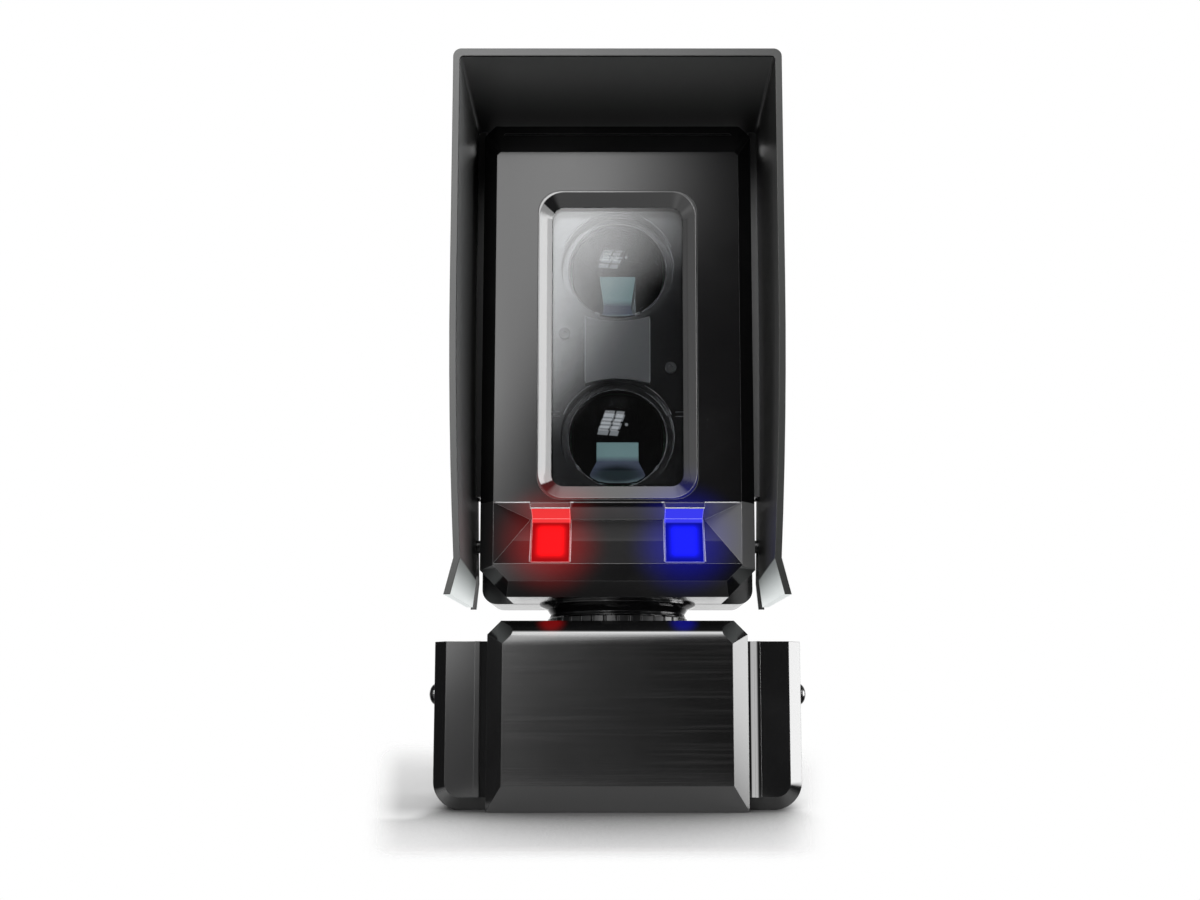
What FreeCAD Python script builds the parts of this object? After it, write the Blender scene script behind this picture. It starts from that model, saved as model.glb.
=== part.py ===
import FreeCAD, Part
import math
import operator
import os
import Sketcher

# Through-beam photo eye: a hooded sensor head that swivels on a wall base.
# Millimetres. X to the right, Y towards the wall, Z up. The origin is the
# middle of the wall face, and depths are counted forward from that face.

doc = FreeCAD.newDocument("PhotoEye")
sheet = doc.addObject("Spreadsheet::Sheet", "Sizes")
SIGNS = {"+": operator.add, "-": operator.sub, "*": operator.mul, "/": operator.truediv}
AXES = {"x": (1, 0, 0), "y": (0, 1, 0), "z": (0, 0, 1)}
NODES = []
TOUCH = 0.01
HAIR = 1e-6
CORNER_TRIM = 2 - math.sqrt(2)
TERMINAL_WAYS = 4
INDEX_NOTCHES = 36
HOOD_STEPS = 6


class Length:
    """A number together with the expression that ties it to the sheet."""

    def __init__(self, value, text):
        self.value = value
        self.text = text

    def __add__(self, other):
        return combine(self, "+", other)

    def __radd__(self, other):
        return combine(other, "+", self)

    def __sub__(self, other):
        return combine(self, "-", other)

    def __rsub__(self, other):
        return combine(other, "-", self)

    def __mul__(self, other):
        return combine(self, "*", other)

    def __rmul__(self, other):
        return combine(other, "*", self)

    def __truediv__(self, other):
        return combine(self, "/", other)

    def __neg__(self):
        return combine(0, "-", self)


def as_length(number):
    """A plain number or a Length, as a Length."""
    if isinstance(number, Length):
        return number
    return Length(float(number), f"({float(number):.6f})")


def combine(left, sign, right):
    """The result of a sum on two lengths, with its expression."""
    left = as_length(left)
    right = as_length(right)
    value = SIGNS[sign](left.value, right.value)
    return Length(value, f"({left.text} {sign} {right.text})")


def size(name, value, meaning):
    """Write one driving dimension in the sheet and return it."""
    size.row += 1
    sheet.set(f"A{size.row}", meaning)
    sheet.set(f"B{size.row}", str(value))
    sheet.setAlias(f"B{size.row}", name)
    return Length(float(value), f"Sizes.{name}")


size.row = 0

# Base: overall sizes
base_width = size("base_width", 73.0, "base, over both wings")
base_height = size("base_height", 37.0, "base, central box height")
wing_drop = size("wing_drop", 3.9, "wings, their top under the box's top")
wing_setback = size("wing_setback", 5.3, "wings, their front behind the box's front")
wing_width = size("wing_width", 11.0, "wings, width of one")
box_depth = size("box_depth", 50.0, "base, wall to the front of the box")
box_bevel_side = size("box_bevel_side", 3.2, "box front, width of the side bevels")
box_bevel_top = size("box_bevel_top", 1.9, "box front, height of the top bevel")
box_bevel_foot = size("box_bevel_foot", 5.1, "box front, height of the bottom bevel")
box_bevel_depth = size("box_bevel_depth", 2.5, "box front, depth of its bevels")
box_corner = size("box_corner", 2.7, "box, cut-off top corners")
box_brow = size("box_brow", 2.8, "box front, round under the top bevel")
wing_corner = size("wing_corner", 5.5, "wings, radius of the bottom corners")
wing_bevel = size("wing_bevel", 2.6, "wings, front bevel")
wing_rib_gap = size("wing_rib_gap", 2.1, "wings, box side to the middle of the upright rib")
wing_rib_width = size("wing_rib_width", 1.2, "wings, width of the upright rib")
wing_rib_rise = size("wing_rib_rise", 0.5, "wings, how far the rib stands out")
cover_wall = size("cover_wall", 2.0, "base cover, wall")
cover_front_wall = size("cover_front_wall", 3.5, "base cover, wall behind the front bevels")
# Base: wall plate, seal, screws and wiring
plate_thick = size("plate_thick", 2.5, "wall plate, thickness")
plate_inset = size("plate_inset", 0.4, "wall plate, set in from the cover's outline")
slot_spacing = size("slot_spacing", 46.0, "wall plate, distance between the screw slots")
slot_radius = size("slot_radius", 2.4, "wall plate, half the width of a slot")
slot_length = size("slot_length", 9.0, "wall plate, length of a slot, end to end")
ear_thick = size("ear_thick", 2.0, "wall plate, thickness of the side ears")
ear_tall = size("ear_tall", 11.0, "wall plate, height of the side ears")
seal_thick = size("seal_thick", 0.8, "seals, thickness")
seal_width = size("seal_width", 1.2, "seals, width")
seal_corner = size("seal_corner", 3.3, "base seal, cut-off bottom corners")
slip = size("slip", 0.3, "clearance between pieces that pass each other")
fit_gap = size("fit_gap", 0.05, "radial clearance of a running or screw fit")
small_head = size("small_head", 1.1, "small screws, head radius")
small_head_thick = size("small_head_thick", 0.7, "small screws, head height")
small_shank = size("small_shank", 0.6, "small screws, shank radius")
small_drive = size("small_drive", 0.45, "small screws, socket radius")
side_screw_setback = size("side_screw_setback", 6.7, "side screws, distance behind the wings' front")
side_screw_rise = size("side_screw_rise", 22.7, "side screws, height over the base's foot")
side_head_radius = size("side_head_radius", 2.2, "side screws, head radius")
side_head_thick = size("side_head_thick", 1.6, "side screws, head height")
side_shank_radius = size("side_shank_radius", 1.25, "side screws, shank radius")
terminal_width = size("terminal_width", 25.0, "terminal block, width")
terminal_tall = size("terminal_tall", 8.0, "terminal block, height")
terminal_deep = size("terminal_deep", 11.0, "terminal block, depth")
terminal_pitch = size("terminal_pitch", 5.0, "terminal block, distance between ways")
terminal_rise = size("terminal_rise", 11.5, "terminal block, height over the base's foot")
terminal_bore = size("terminal_bore", 1.3, "terminal block, radius of a wire hole")
terminal_reach = size("terminal_reach", 7.5, "terminal block, depth of a wire hole")
conduit_radius = size("conduit_radius", 11.0, "cable entry, hole radius in the cover's floor")
conduit_depth = size("conduit_depth", 28.0, "cable entry, distance from the wall")
cable_radius = size("cable_radius", 3.2, "cable entry, bore of the grommet")
grommet_lip = size("grommet_lip", 1.3, "cable entry, lip of the grommet")
harness_radius = size("harness_radius", 2.2, "wire harness, radius")
harness_bend = size("harness_bend", 8.0, "wire harness, bend radius")
# Neck
axis_depth = size("axis_depth", 31.5, "swivel axis, distance from the wall")
neck_gap = size("neck_gap", 4.25, "neck, base top to head underside")
journal_radius = size("journal_radius", 10.95, "neck, radius in the cover's bore")
bearing_length = size("bearing_length", 4.0, "cover, length of the neck's bore")
neck_foot_radius = size("neck_foot_radius", 14.25, "neck, radius at its foot")
neck_waist_radius = size("neck_waist_radius", 14.0, "neck, radius at its waist")
neck_disc_radius = size("neck_disc_radius", 16.3, "neck, radius of its top disc")
neck_disc_edge = size("neck_disc_edge", 0.35, "neck, height of its top disc's edge")
neck_foot_slope = size("neck_foot_slope", 0.65, "neck, height of the slope over its foot")
neck_flare_radius = size("neck_flare_radius", 14.75, "neck, radius where it opens to the disc")
neck_flare_drop = size("neck_flare_drop", 1.0, "neck, head to where it opens to the disc")
neck_tail = size("neck_tail", 1.0, "neck, length under the retaining ring's groove")
neck_bore = size("neck_bore", 6.0, "neck, radius of the wire passage")
index_rise = size("index_rise", 1.2, "index ring, thickness")
index_radius = size("index_radius", 14.5, "index ring, outer radius")
index_play = size("index_play", 0.45, "index ring, gap round the neck's journal")
index_notch = size("index_notch", 0.35, "index ring, radius of a notch")
washer_thick = size("washer_thick", 0.5, "neck washer, thickness")
circlip_thick = size("circlip_thick", 0.9, "neck retaining ring, thickness")
circlip_depth = size("circlip_depth", 0.8, "neck retaining ring, depth of its groove")
circlip_width = size("circlip_width", 2.3, "neck retaining ring, width")
cord_radius = size("cord_radius", 0.5, "neck seal ring, section radius")
neck_head_radius = size("neck_head_radius", 1.65, "neck screws, head radius")
neck_head_thick = size("neck_head_thick", 1.0, "neck screws, head height")
neck_screw_grip = size("neck_screw_grip", 1.9, "neck screws, length in the neck")
# Head: front view
head_width = size("head_width", 53.2, "front shell, width")
side_bevel = size("side_bevel", 2.8, "front shell, width of the side bevels")
chin_bevel = size("chin_bevel", 2.8, "front shell, height of the bottom bevel")
chin_band = size("chin_band", 3.35, "front shell, height of the chin band")
notch_height = size("notch_height", 11.8, "front shell, height of the lamp notch")
face_height = size("face_height", 70.2, "front shell, height of the flat face")
brow_bevel = size("brow_bevel", 6.8, "front shell, height of the top bevel")
chin_corner = size("chin_corner", 5.2, "front shell, cut-off bottom corners")
band_corner = size("band_corner", 3.0, "front shell, cut-off corners of the chin band")
crown_corner = size("crown_corner", 2.2, "front shell, cut-off top corners")
face_corner = size("face_corner", 0.7, "front shell, cut-off corners of the face")
# Head: depths, counted from the wall
face_depth = size("face_depth", 55.0, "wall to the front face")
head_bevel = size("head_bevel", 3.0, "front shell, depth of its bevels")
parting_depth = size("parting_depth", 35.4, "wall to the joint of the two shells")
head_rear = size("head_rear", 16.3, "wall to the back of the head")
shell_wall = size("shell_wall", 2.0, "shells, wall")
rear_step = size("rear_step", 1.4, "rear shell, how far it stands out at each side")
rear_lift = size("rear_lift", 1.0, "rear shell, how much higher than the front shell")
rear_corner = size("rear_corner", 3.0, "rear shell, radius of its long corners")
rear_round = size("rear_round", 2.2, "rear shell, bevel of its back edge")
rear_floor_corner = size("rear_floor_corner", 3.1, "rear shell, cut-off lower corners of its room")
boss_sink = size("boss_sink", 0.9, "shell screw bosses, how far they run into the wall")
pilot_depth = size("pilot_depth", 6.6, "screw holes in posts and bosses, depth")
screw_grip = size("screw_grip", 5.3, "screws in posts and bosses, length in them")
shell_head_radius = size("shell_head_radius", 1.75, "shell screws, head radius")
shell_head_thick = size("shell_head_thick", 1.05, "shell screws, head height")
notch_depth = size("notch_depth", 5.0, "lamp notch, depth")
notch_line = size("notch_line", 2.5, "lamp notch, its deepest line below the face")
notch_half = size("notch_half", 17.2, "lamp notch, half length of its deepest line")
notch_mouth = size("notch_mouth", 23.75, "lamp notch, half length of its mouth")
lamp_wall = size("lamp_wall", 7.5, "lamp notch, face to the back of its wall")
# Window and optics
bezel_width = size("bezel_width", 31.0, "bezel, outer width")
bezel_spare = size("bezel_spare", 0.8, "bezel, room over the upper lens")
bezel_land = size("bezel_land", 0.7, "bezel, distance over the face's lower edge")
bezel_band = size("bezel_band", 2.7, "bezel, width of its sloping band")
bezel_sink = size("bezel_sink", 1.7, "bezel, how deep its band slopes in")
bezel_radius = size("bezel_radius", 4.4, "bezel, outer corner radius")
bezel_inner_radius = size("bezel_inner_radius", 2.4, "bezel, inner corner radius")
bezel_rim = size("bezel_rim", 0.2, "bezel, flat rim round its slope")
bezel_ledge = size("bezel_ledge", 1.5, "bezel, ledge that the window sits on")
bezel_thick = size("bezel_thick", 6.5, "bezel, front to back")
window_thick = size("window_thick", 1.5, "window, thickness")
gasket_thick = size("gasket_thick", 1.5, "window gasket, thickness")
gasket_width = size("gasket_width", 1.1, "window gasket, width")
plate_corner = size("plate_corner", 0.6, "window, gasket and carrier, corner radius")
carrier_thick = size("carrier_thick", 1.6, "optics carrier, plate thickness")
lens_spacing = size("lens_spacing", 34.2, "lenses, centre to centre")
lens_radius = size("lens_radius", 10.3, "lenses, radius")
lens_crown = size("lens_crown", 4.4, "lenses, height of the dome")
lens_rim = size("lens_rim", 1.0, "lenses, thickness of the rim")
ring_width = size("ring_width", 0.9, "lens rings, width")
ring_thick = size("ring_thick", 1.2, "lens rings, thickness")
tunnel_wall = size("tunnel_wall", 0.8, "optics carrier, wall of the light tunnels")
tunnel_gap = size("tunnel_gap", 1.8, "optics carrier, light tunnels to the circuit board")
block_width = size("block_width", 12.7, "centre block, width")
block_thick = size("block_thick", 0.9, "centre block, thickness")
block_dip = size("block_dip", 1.0, "centre block, dip of its hollow ends")
screw_offset = size("screw_offset", 10.5, "carrier screws, distance from the middle")
screw_stagger = size("screw_stagger", 3.45, "carrier screws, height over or under the middle")
carrier_grip = size("carrier_grip", 3.0, "carrier screws, length in the carrier posts")
# Boards and lamps
board_setback = size("board_setback", 2.4, "circuit board, its back behind the shells' joint")
board_thick = size("board_thick", 1.6, "circuit board, thickness")
board_height = size("board_height", 78.0, "circuit board, height")
board_foot = size("board_foot", 7.0, "circuit board, height of its foot over the underside")
board_margin = size("board_margin", 2.3, "circuit board, screws from its side edges")
board_hole_rise = size("board_hole_rise", 15.0, "circuit board, lower screws over its foot")
board_hole_drop = size("board_hole_drop", 2.0, "circuit board, upper screws under its top")
board_head_radius = size("board_head_radius", 1.55, "circuit board screws, head radius")
post_radius = size("post_radius", 2.2, "posts under a board, radius")
chip_side = size("chip_side", 7.0, "sensor chips, side")
chip_thick = size("chip_thick", 1.2, "sensor chips, thickness")
heater_radius = size("heater_radius", 1.75, "heater, radius")
heater_length = size("heater_length", 7.0, "heater, length")
socket_width = size("socket_width", 14.0, "board connector, width")
socket_side = size("socket_side", 7.0, "board connector, height and depth")
socket_wall = size("socket_wall", 1.1, "board connector, wall")
lamp_place = size("lamp_place", 12.9, "lamps, distance from the middle")
lamp_width = size("lamp_width", 7.4, "light pipes, width")
lamp_proud = size("lamp_proud", 0.7, "light pipes, how far they stand out of the notch")
lamp_lip = size("lamp_lip", 0.8, "light pipes, lip and its thickness")
lamp_margin = size("lamp_margin", 0.3, "light pipes, step from the notch's edge")
lamp_hole_place = size("lamp_hole_place", 3.5, "lamp board, screws from the middle")
led_side = size("led_side", 3.5, "lamp chips, side")
led_thick = size("led_thick", 1.2, "lamp chips, thickness")
led_board_setback = size("led_board_setback", 3.4, "lamp board, its back behind the notch's wall")
led_board_thick = size("led_board_thick", 1.2, "lamp board, thickness")
# Hood and how it is held
hood_front = size("hood_front", 74.0, "whole part, wall to the hood's front rim")
hood_side = size("hood_side", 3.4, "hood, side of the head to its outside")
hood_top = size("hood_top", 3.75, "hood, its top over the head")
hood_wall = size("hood_wall", 1.2, "hood, wall")
hood_roof = size("hood_roof", 1.4, "hood, roof thickness")
hood_foot = size("hood_foot", 1.45, "hood, how far it reaches below the head's underside")
hood_crease = size("hood_crease", 5.0, "hood, height of the front crease over the underside")
hood_crease_drop = size("hood_crease_drop", 1.2, "hood, how much lower the crease is at the rear")
waist_draw = size("waist_draw", 1.35, "hood, how far its sides draw in at the front crease")
waist_draw_rear = size("waist_draw_rear", 0.6, "hood, how far its sides draw in at the rear crease")
flare_out = size("flare_out", 1.65, "hood, how far its front foot flares out of the crease")
flare_out_rear = size("flare_out_rear", 0.45, "hood, how far its rear foot flares out of the crease")
hood_bend = size("hood_bend", 55.0, "hood, height over the underside where its sides turn in")
hood_corner = size("hood_corner", 1.5, "hood, radius of its top corners")
rail_place = size("rail_place", 4.8, "rails, shells' joint to the back of the rails")
rail_width = size("rail_width", 3.1, "rails, width front to back")
rail_rise = size("rail_rise", 1.3, "rails, how far they stand out of the shell")
rail_low = size("rail_low", 20.8, "rails, foot over the underside")
rail_high = size("rail_high", 89.5, "rails, top over the underside")
rail_grip = size("rail_grip", 0.8, "hood ribs, how far they reach behind the rails")
rib_width = size("rib_width", 1.2, "hood ribs, width")
hood_screw_rise = size("hood_screw_rise", 11.0, "hood screws, height over the underside")
hood_screw_place = size("hood_screw_place", 2.0, "hood screws, distance in front of the rails' back")
hood_boss_radius = size("hood_boss_radius", 2.2, "hood screw bosses, radius")
hood_boss_rise = size("hood_boss_rise", 0.6, "hood screw bosses, how far they stand out")
hood_head_radius = size("hood_head_radius", 2.6, "hood screws, head radius")
hood_head_thick = size("hood_head_thick", 1.2, "hood screws, head height")
hood_shank_radius = size("hood_shank_radius", 1.3, "hood screws, shank radius")

# Base and neck, worked out from the sizes above
foot = -(base_height / 2)
base_top = base_height / 2
wing_height = base_height - wing_drop
wing_depth = box_depth - wing_setback
box_width = base_width - wing_width * 2
wing_rib_place = box_width / 2 + wing_rib_gap
side_screw_depth = wing_depth - side_screw_setback
cover_back = plate_thick + seal_thick
index_bore = journal_radius + index_play
neck_screw_circle = (neck_bore + journal_radius) / 2
groove_top = -(bearing_length + slip / 2 + washer_thick)
groove_foot = groove_top - circlip_thick - fit_gap * 2
cord_level = -(bearing_length / 2)
cord_half = cord_radius + fit_gap
# Head, from the bottom up
underside = base_top + neck_gap
band_foot = underside + chin_bevel
band_top = band_foot + chin_band
face_foot = band_top + notch_height
face_top = face_foot + face_height
head_top = face_top + brow_bevel
face_width = head_width - side_bevel * 2
pipe_low = band_top + lamp_margin
pipe_high = face_foot - lamp_margin * 2
# Window and lenses, placed by the light tunnels' room in the bezel
tunnel_radius = lens_radius + ring_width - fit_gap
lens_margin = bezel_band - bezel_ledge + fit_gap + tunnel_radius + tunnel_wall
bezel_height = lens_spacing + lens_margin * 2 + bezel_spare
bezel_foot = face_foot + bezel_land
bezel_middle = bezel_foot + bezel_height / 2
low_lens = bezel_foot + lens_margin
high_lens = low_lens + lens_spacing
block_height = lens_spacing - lens_radius * 2
# Depths of the head, from the wall
bezel_back = face_depth - bezel_thick
window_front = face_depth - bezel_sink
window_back = window_front - window_thick
carrier_front = window_back - gasket_thick
lens_front = window_back - slip
lens_back = lens_front - lens_crown - lens_rim
lamp_wall_depth = face_depth - lamp_wall
led_board_depth = lamp_wall_depth - led_board_setback
board_depth = parting_depth - board_setback
board_front = board_depth + board_thick
tunnel_depth = board_front + tunnel_gap
front_back = parting_depth + seal_thick / 2
rear_front = parting_depth - seal_thick / 2
# Shell screws and the board between their pillars
boss_inset = shell_wall + post_radius - boss_sink
boss_place = head_width / 2 - boss_inset
pillar_radius = post_radius + shell_wall / 2
board_low = underside + board_foot
board_high = board_low + board_height
board_width = (boss_place - pillar_radius - slip) * 2
board_hole_x = board_width / 2 - board_margin
# Hood and rails
rail_depth = parting_depth + rail_place
hood_screw_depth = rail_depth + hood_screw_place
hood_rear = rail_depth - slip - rib_width
hood_ceiling = head_top + hood_top - hood_roof
hood_width = head_width + hood_side * 2
hood_waist = hood_width / 2 - waist_draw
hood_waist_rear = hood_width / 2 - waist_draw_rear
hood_flare = hood_waist + flare_out
hood_flare_rear = hood_waist_rear + flare_out_rear
doc.recompute()


# Helpers

def bind(thing, path, length):
    """Tie one property of a thing to the sheet."""
    thing.setExpression(path, as_length(length).text)


def vector(x, y, z):
    """A point from numbers or lengths."""
    return FreeCAD.Vector(as_length(x).value, as_length(y).value, as_length(z).value)


def place(thing, point, direction="z"):
    """Put a thing at a point, with its own Z turned to an axis."""
    sign = -1 if direction.startswith("-") else 1
    target = FreeCAD.Vector(*AXES[direction[-1]]) * sign
    turn = FreeCAD.Rotation(FreeCAD.Vector(0, 0, 1), target)
    thing.Placement = FreeCAD.Placement(vector(*point), turn)
    for axis, value in zip("xyz", point):
        bind(thing, f"Placement.Base.{axis}", value)


def block(name, low, high):
    """A box between two corners."""
    box = doc.addObject("Part::Box", name)
    for key, start, end in zip(("Length", "Width", "Height"), low, high):
        bind(box, key, as_length(end) - as_length(start))
    place(box, low)
    return box


def rod(name, start, direction, radius, length):
    """A cylinder from a point along an axis."""
    cylinder = doc.addObject("Part::Cylinder", name)
    bind(cylinder, "Radius", radius)
    bind(cylinder, "Height", length)
    place(cylinder, start, direction)
    return cylinder


def tube(name, start, direction, outer, inner, length):
    """A ring or a pipe from a point along an axis."""
    return cut(name, rod(name + "_outside", start, direction, outer, length),
               rod(name + "_bore", start, direction, inner, length))


def fuse(name, *pieces):
    """Several solids made one."""
    whole = doc.addObject("Part::MultiFuse", name)
    whole.Shapes = list(pieces)
    return whole


def cut(name, base, *tools):
    """A solid with others taken away."""
    result = doc.addObject("Part::Cut", name)
    result.Base = base
    result.Tool = tools[0] if len(tools) == 1 else fuse(name + "_tools", *tools)
    return result


def group(name, pieces):
    """Separate solids that share one node."""
    whole = doc.addObject("Part::Compound", name)
    whole.Links = pieces
    return whole


def node(thing, label):
    """Name a finished sub-part."""
    thing.Label = label
    NODES.append(thing)
    return thing


def screw(name, start, direction, head_radius, head_thick, shank_radius, length, socket):
    """A screw whose head stands on a point and whose shank runs back from it."""
    back = direction[1:] if direction.startswith("-") else "-" + direction
    head = rod(name + "_head", start, direction, head_radius, head_thick)
    shank = rod(name + "_shank", start, back, shank_radius, length)
    drive = doc.addObject("Part::Prism", name + "_drive")
    drive.Polygon = 6
    bind(drive, "Circumradius", socket)
    bind(drive, "Height", head_thick)
    sign = -1 if direction.startswith("-") else 1
    along = [sign * part for part in AXES[direction[-1]]]
    place(drive, [value + head_thick / 2 * part for value, part in zip(start, along)], direction)
    return cut(name, fuse(name + "_blank", head, shank), drive)


def origin_plane(body, role):
    """One of a body's own origin planes."""
    return next(plane for plane in body.Origin.OriginFeatures if plane.Role == role)


def new_sketch(body, name, plane, offset):
    """An empty sketch on one of the body's planes, moved along its normal."""
    sketch = body.newObject("Sketcher::SketchObject", name)
    sketch.AttachmentSupport = (origin_plane(body, plane), [""])
    sketch.MapMode = "FlatFace"
    bind(sketch, "AttachmentOffset.Base.z", offset)
    return sketch


def pin_point(sketch, edge, end, x, y):
    """Hold one end of a sketch edge at a place tied to the sheet."""
    for kind, value in (("DistanceX", as_length(x)), ("DistanceY", as_length(y))):
        held = sketch.addConstraint(Sketcher.Constraint(kind, -1, 1, edge, end, value.value))
        sketch.setExpression(f"Constraints[{held}]", value.text)


def add_loop(sketch, points):
    """A closed outline. A third number makes the edge after a point an arc of that radius."""
    first = sketch.GeometryCount
    total = len(points)
    for index, point in enumerate(points):
        start = vector(point[0], point[1], 0)
        end = vector(points[(index + 1) % total][0], points[(index + 1) % total][1], 0)
        if len(point) == 2:
            sketch.addGeometry(Part.LineSegment(start, end), False)
            continue
        radius = as_length(point[2])
        chord = end - start
        side = FreeCAD.Vector(-chord.y, chord.x, 0).normalize() * math.copysign(1, radius.value)
        rise = abs(radius.value) - math.sqrt(max(radius.value ** 2 - (chord.Length / 2) ** 2, 0))
        sketch.addGeometry(Part.Arc(start, start + chord / 2 + side * rise, end), False)
    opens = [1 if (sketch.getPoint(first + index, 1) - vector(point[0], point[1], 0)).Length < HAIR else 2
             for index, point in enumerate(points)]
    for index, point in enumerate(points):
        edge = first + index
        following = (index + 1) % total
        sketch.addConstraint(Sketcher.Constraint("Coincident", edge, 3 - opens[index],
                                                 first + following, opens[following]))
        pin_point(sketch, edge, opens[index], point[0], point[1])
        if len(point) == 3:
            hold_arc(sketch, edge, point, points[(index + 1) % total])


def hold_arc(sketch, edge, point, following):
    """Fix an arc's radius, or for a half circle the place of its centre."""
    radius = as_length(point[2])
    width = as_length(following[0]).value - as_length(point[0]).value
    rise = as_length(following[1]).value - as_length(point[1]).value
    if abs(2 * abs(radius.value) - math.hypot(width, rise)) < HAIR:
        kind, value = ("DistanceX", point[0]) if abs(rise) > abs(width) else ("DistanceY", point[1])
        value = as_length(value)
        held = sketch.addConstraint(Sketcher.Constraint(kind, -1, 1, edge, 3, value.value))
        sketch.setExpression(f"Constraints[{held}]", value.text)
        return
    held = sketch.addConstraint(Sketcher.Constraint("Radius", edge, abs(radius.value)))
    sketch.setExpression(f"Constraints[{held}]", radius.text if radius.value > 0 else (-radius).text)


def add_circle(sketch, x, y, radius):
    """A full circle with its centre and radius tied to the sheet."""
    radius = as_length(radius)
    edge = sketch.addGeometry(Part.Circle(vector(x, y, 0), FreeCAD.Vector(0, 0, 1), radius.value), False)
    held = sketch.addConstraint(Sketcher.Constraint("Radius", edge, radius.value))
    sketch.setExpression(f"Constraints[{held}]", radius.text)
    pin_point(sketch, edge, 3, x, y)


def sketch_loops(body, name, plane, offset, *loops):
    """A sketch that holds one or more closed outlines."""
    sketch = new_sketch(body, name, plane, offset)
    for loop in loops:
        add_loop(sketch, loop)
    return sketch


def sketch_circles(body, name, plane, offset, circles):
    """A sketch that holds circles, each given as x, y and radius."""
    sketch = new_sketch(body, name, plane, offset)
    for x, y, radius in circles:
        add_circle(sketch, x, y, radius)
    return sketch


def rectangle(left, right, low, high):
    """The corners of a rectangle, anticlockwise."""
    return [(left, low), (right, low), (right, high), (left, high)]


def rounded(left, right, low, high, radius):
    """A rectangle with round corners, anticlockwise."""
    return [(left + radius, low), (right - radius, low, -radius),
            (right, low + radius), (right, high - radius, -radius),
            (right - radius, high), (left + radius, high, -radius),
            (left, high - radius), (left, low + radius, -radius)]


def mirrored(right_side):
    """A symmetric outline from the points of its right side, bottom to top."""
    return right_side + [(-x, z) for x, z in reversed(right_side)]


def new_body(name):
    """A sub-part made of sketches and features."""
    return doc.addObject("PartDesign::Body", name)


def pad(body, sketch, length, backward=False):
    """Add the sketch's area, along its normal or against it."""
    feature = body.newObject("PartDesign::Pad", sketch.Name + "_pad")
    feature.Profile = sketch
    bind(feature, "Length", length)
    feature.Reversed = backward
    doc.recompute()
    return feature


def carve(body, sketch, length, along_normal=False, both_ways=False):
    """Take the sketch's area away, and make sure that something went."""
    before = body.Shape.Volume
    feature = body.newObject("PartDesign::Pocket", sketch.Name + "_pocket")
    feature.Profile = sketch
    bind(feature, "Length", length)
    feature.Reversed = along_normal
    feature.Midplane = both_ways
    doc.recompute()
    if not 0 < body.Shape.Volume < before - TOUCH:
        raise RuntimeError(f"{sketch.Name} went wrong: {before} to {body.Shape.Volume}")
    return feature


def loft(body, kind, first, second):
    """A straight-sided loft between two sketches."""
    feature = body.newObject(f"PartDesign::{kind}", second.Name + "_loft")
    feature.Profile = first
    feature.Sections = [second]
    feature.Ruled = True
    doc.recompute()
    return feature


def turn(body, name, points):
    """A solid of revolution about the body's own Z axis."""
    sketch = sketch_loops(body, name, "XZ_Plane", 0, points)
    feature = body.newObject("PartDesign::Revolution", name + "_turned")
    feature.Profile = sketch
    feature.ReferenceAxis = (sketch, ["V_Axis"])
    feature.Angle = 360
    doc.recompute()
    return feature


def chosen_edges(body, test):
    """The names of the edges of the body's last feature that pass a test."""
    names = []
    for index, edge in enumerate(body.Tip.Shape.Edges, start=1):
        if test(edge):
            names.append(f"Edge{index}")
    if not names:
        raise RuntimeError(f"no edge found on {body.Name}")
    return names


def runs_along(edge, axis):
    """Whether a straight edge lies along an axis."""
    if len(edge.Vertexes) != 2:
        return False
    span = edge.Vertexes[1].Point - edge.Vertexes[0].Point
    return span.Length > HAIR and abs(span.normalize().dot(FreeCAD.Vector(*AXES[axis]))) > 1 - HAIR


def near(number, length):
    """Whether a number is at a length, to a hundredth."""
    return abs(number - as_length(length).value) < TOUCH


def ease(body, kind, amount, test, second=None):
    """Round or bevel the edges that pass a test; a second amount makes the bevel uneven."""
    last = body.Tip
    names = chosen_edges(body, test)
    feature = body.newObject(f"PartDesign::{kind}", f"{last.Name}_{kind.lower()}")
    feature.Base = (last, names)
    bind(feature, "Radius" if kind == "Fillet" else "Size", amount)
    if second is not None:
        feature.ChamferType = "Two distances"
        bind(feature, "Size2", second)
    doc.recompute()
    return feature


# Outlines that several pieces share, as points of X and Z

def base_outline(inset, foot_cut=None):
    """The front view of the whole base, set in all round, its foot corners square or cut off."""
    half = base_width / 2 - inset
    low = foot + inset
    corner = box_corner - inset * CORNER_TRIM
    feet = [(half, low)]
    if foot_cut is not None:
        feet = [(half - foot_cut, low), (half, low + foot_cut)]
    return mirrored(feet + [
        (half, foot + wing_height - inset),
        (box_width / 2 - inset, foot + wing_height - inset),
        (box_width / 2 - inset, base_top - inset - corner),
        (box_width / 2 - inset - corner, base_top - inset),
    ])


def head_outline(width, low, high, low_corner, high_corner):
    """The front view of the head, with cut-off corners."""
    return mirrored([
        (width / 2 - low_corner, low),
        (width / 2, low + low_corner),
        (width / 2, high - high_corner),
        (width / 2 - high_corner, high),
    ])


def shell_outline(inset):
    """The front shell's outline behind its bevels, set in all round."""
    trim = inset * CORNER_TRIM
    return head_outline(head_width - 2 * inset, underside + inset, head_top - inset,
                        chin_corner - trim, crown_corner - trim)


# Base

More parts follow.
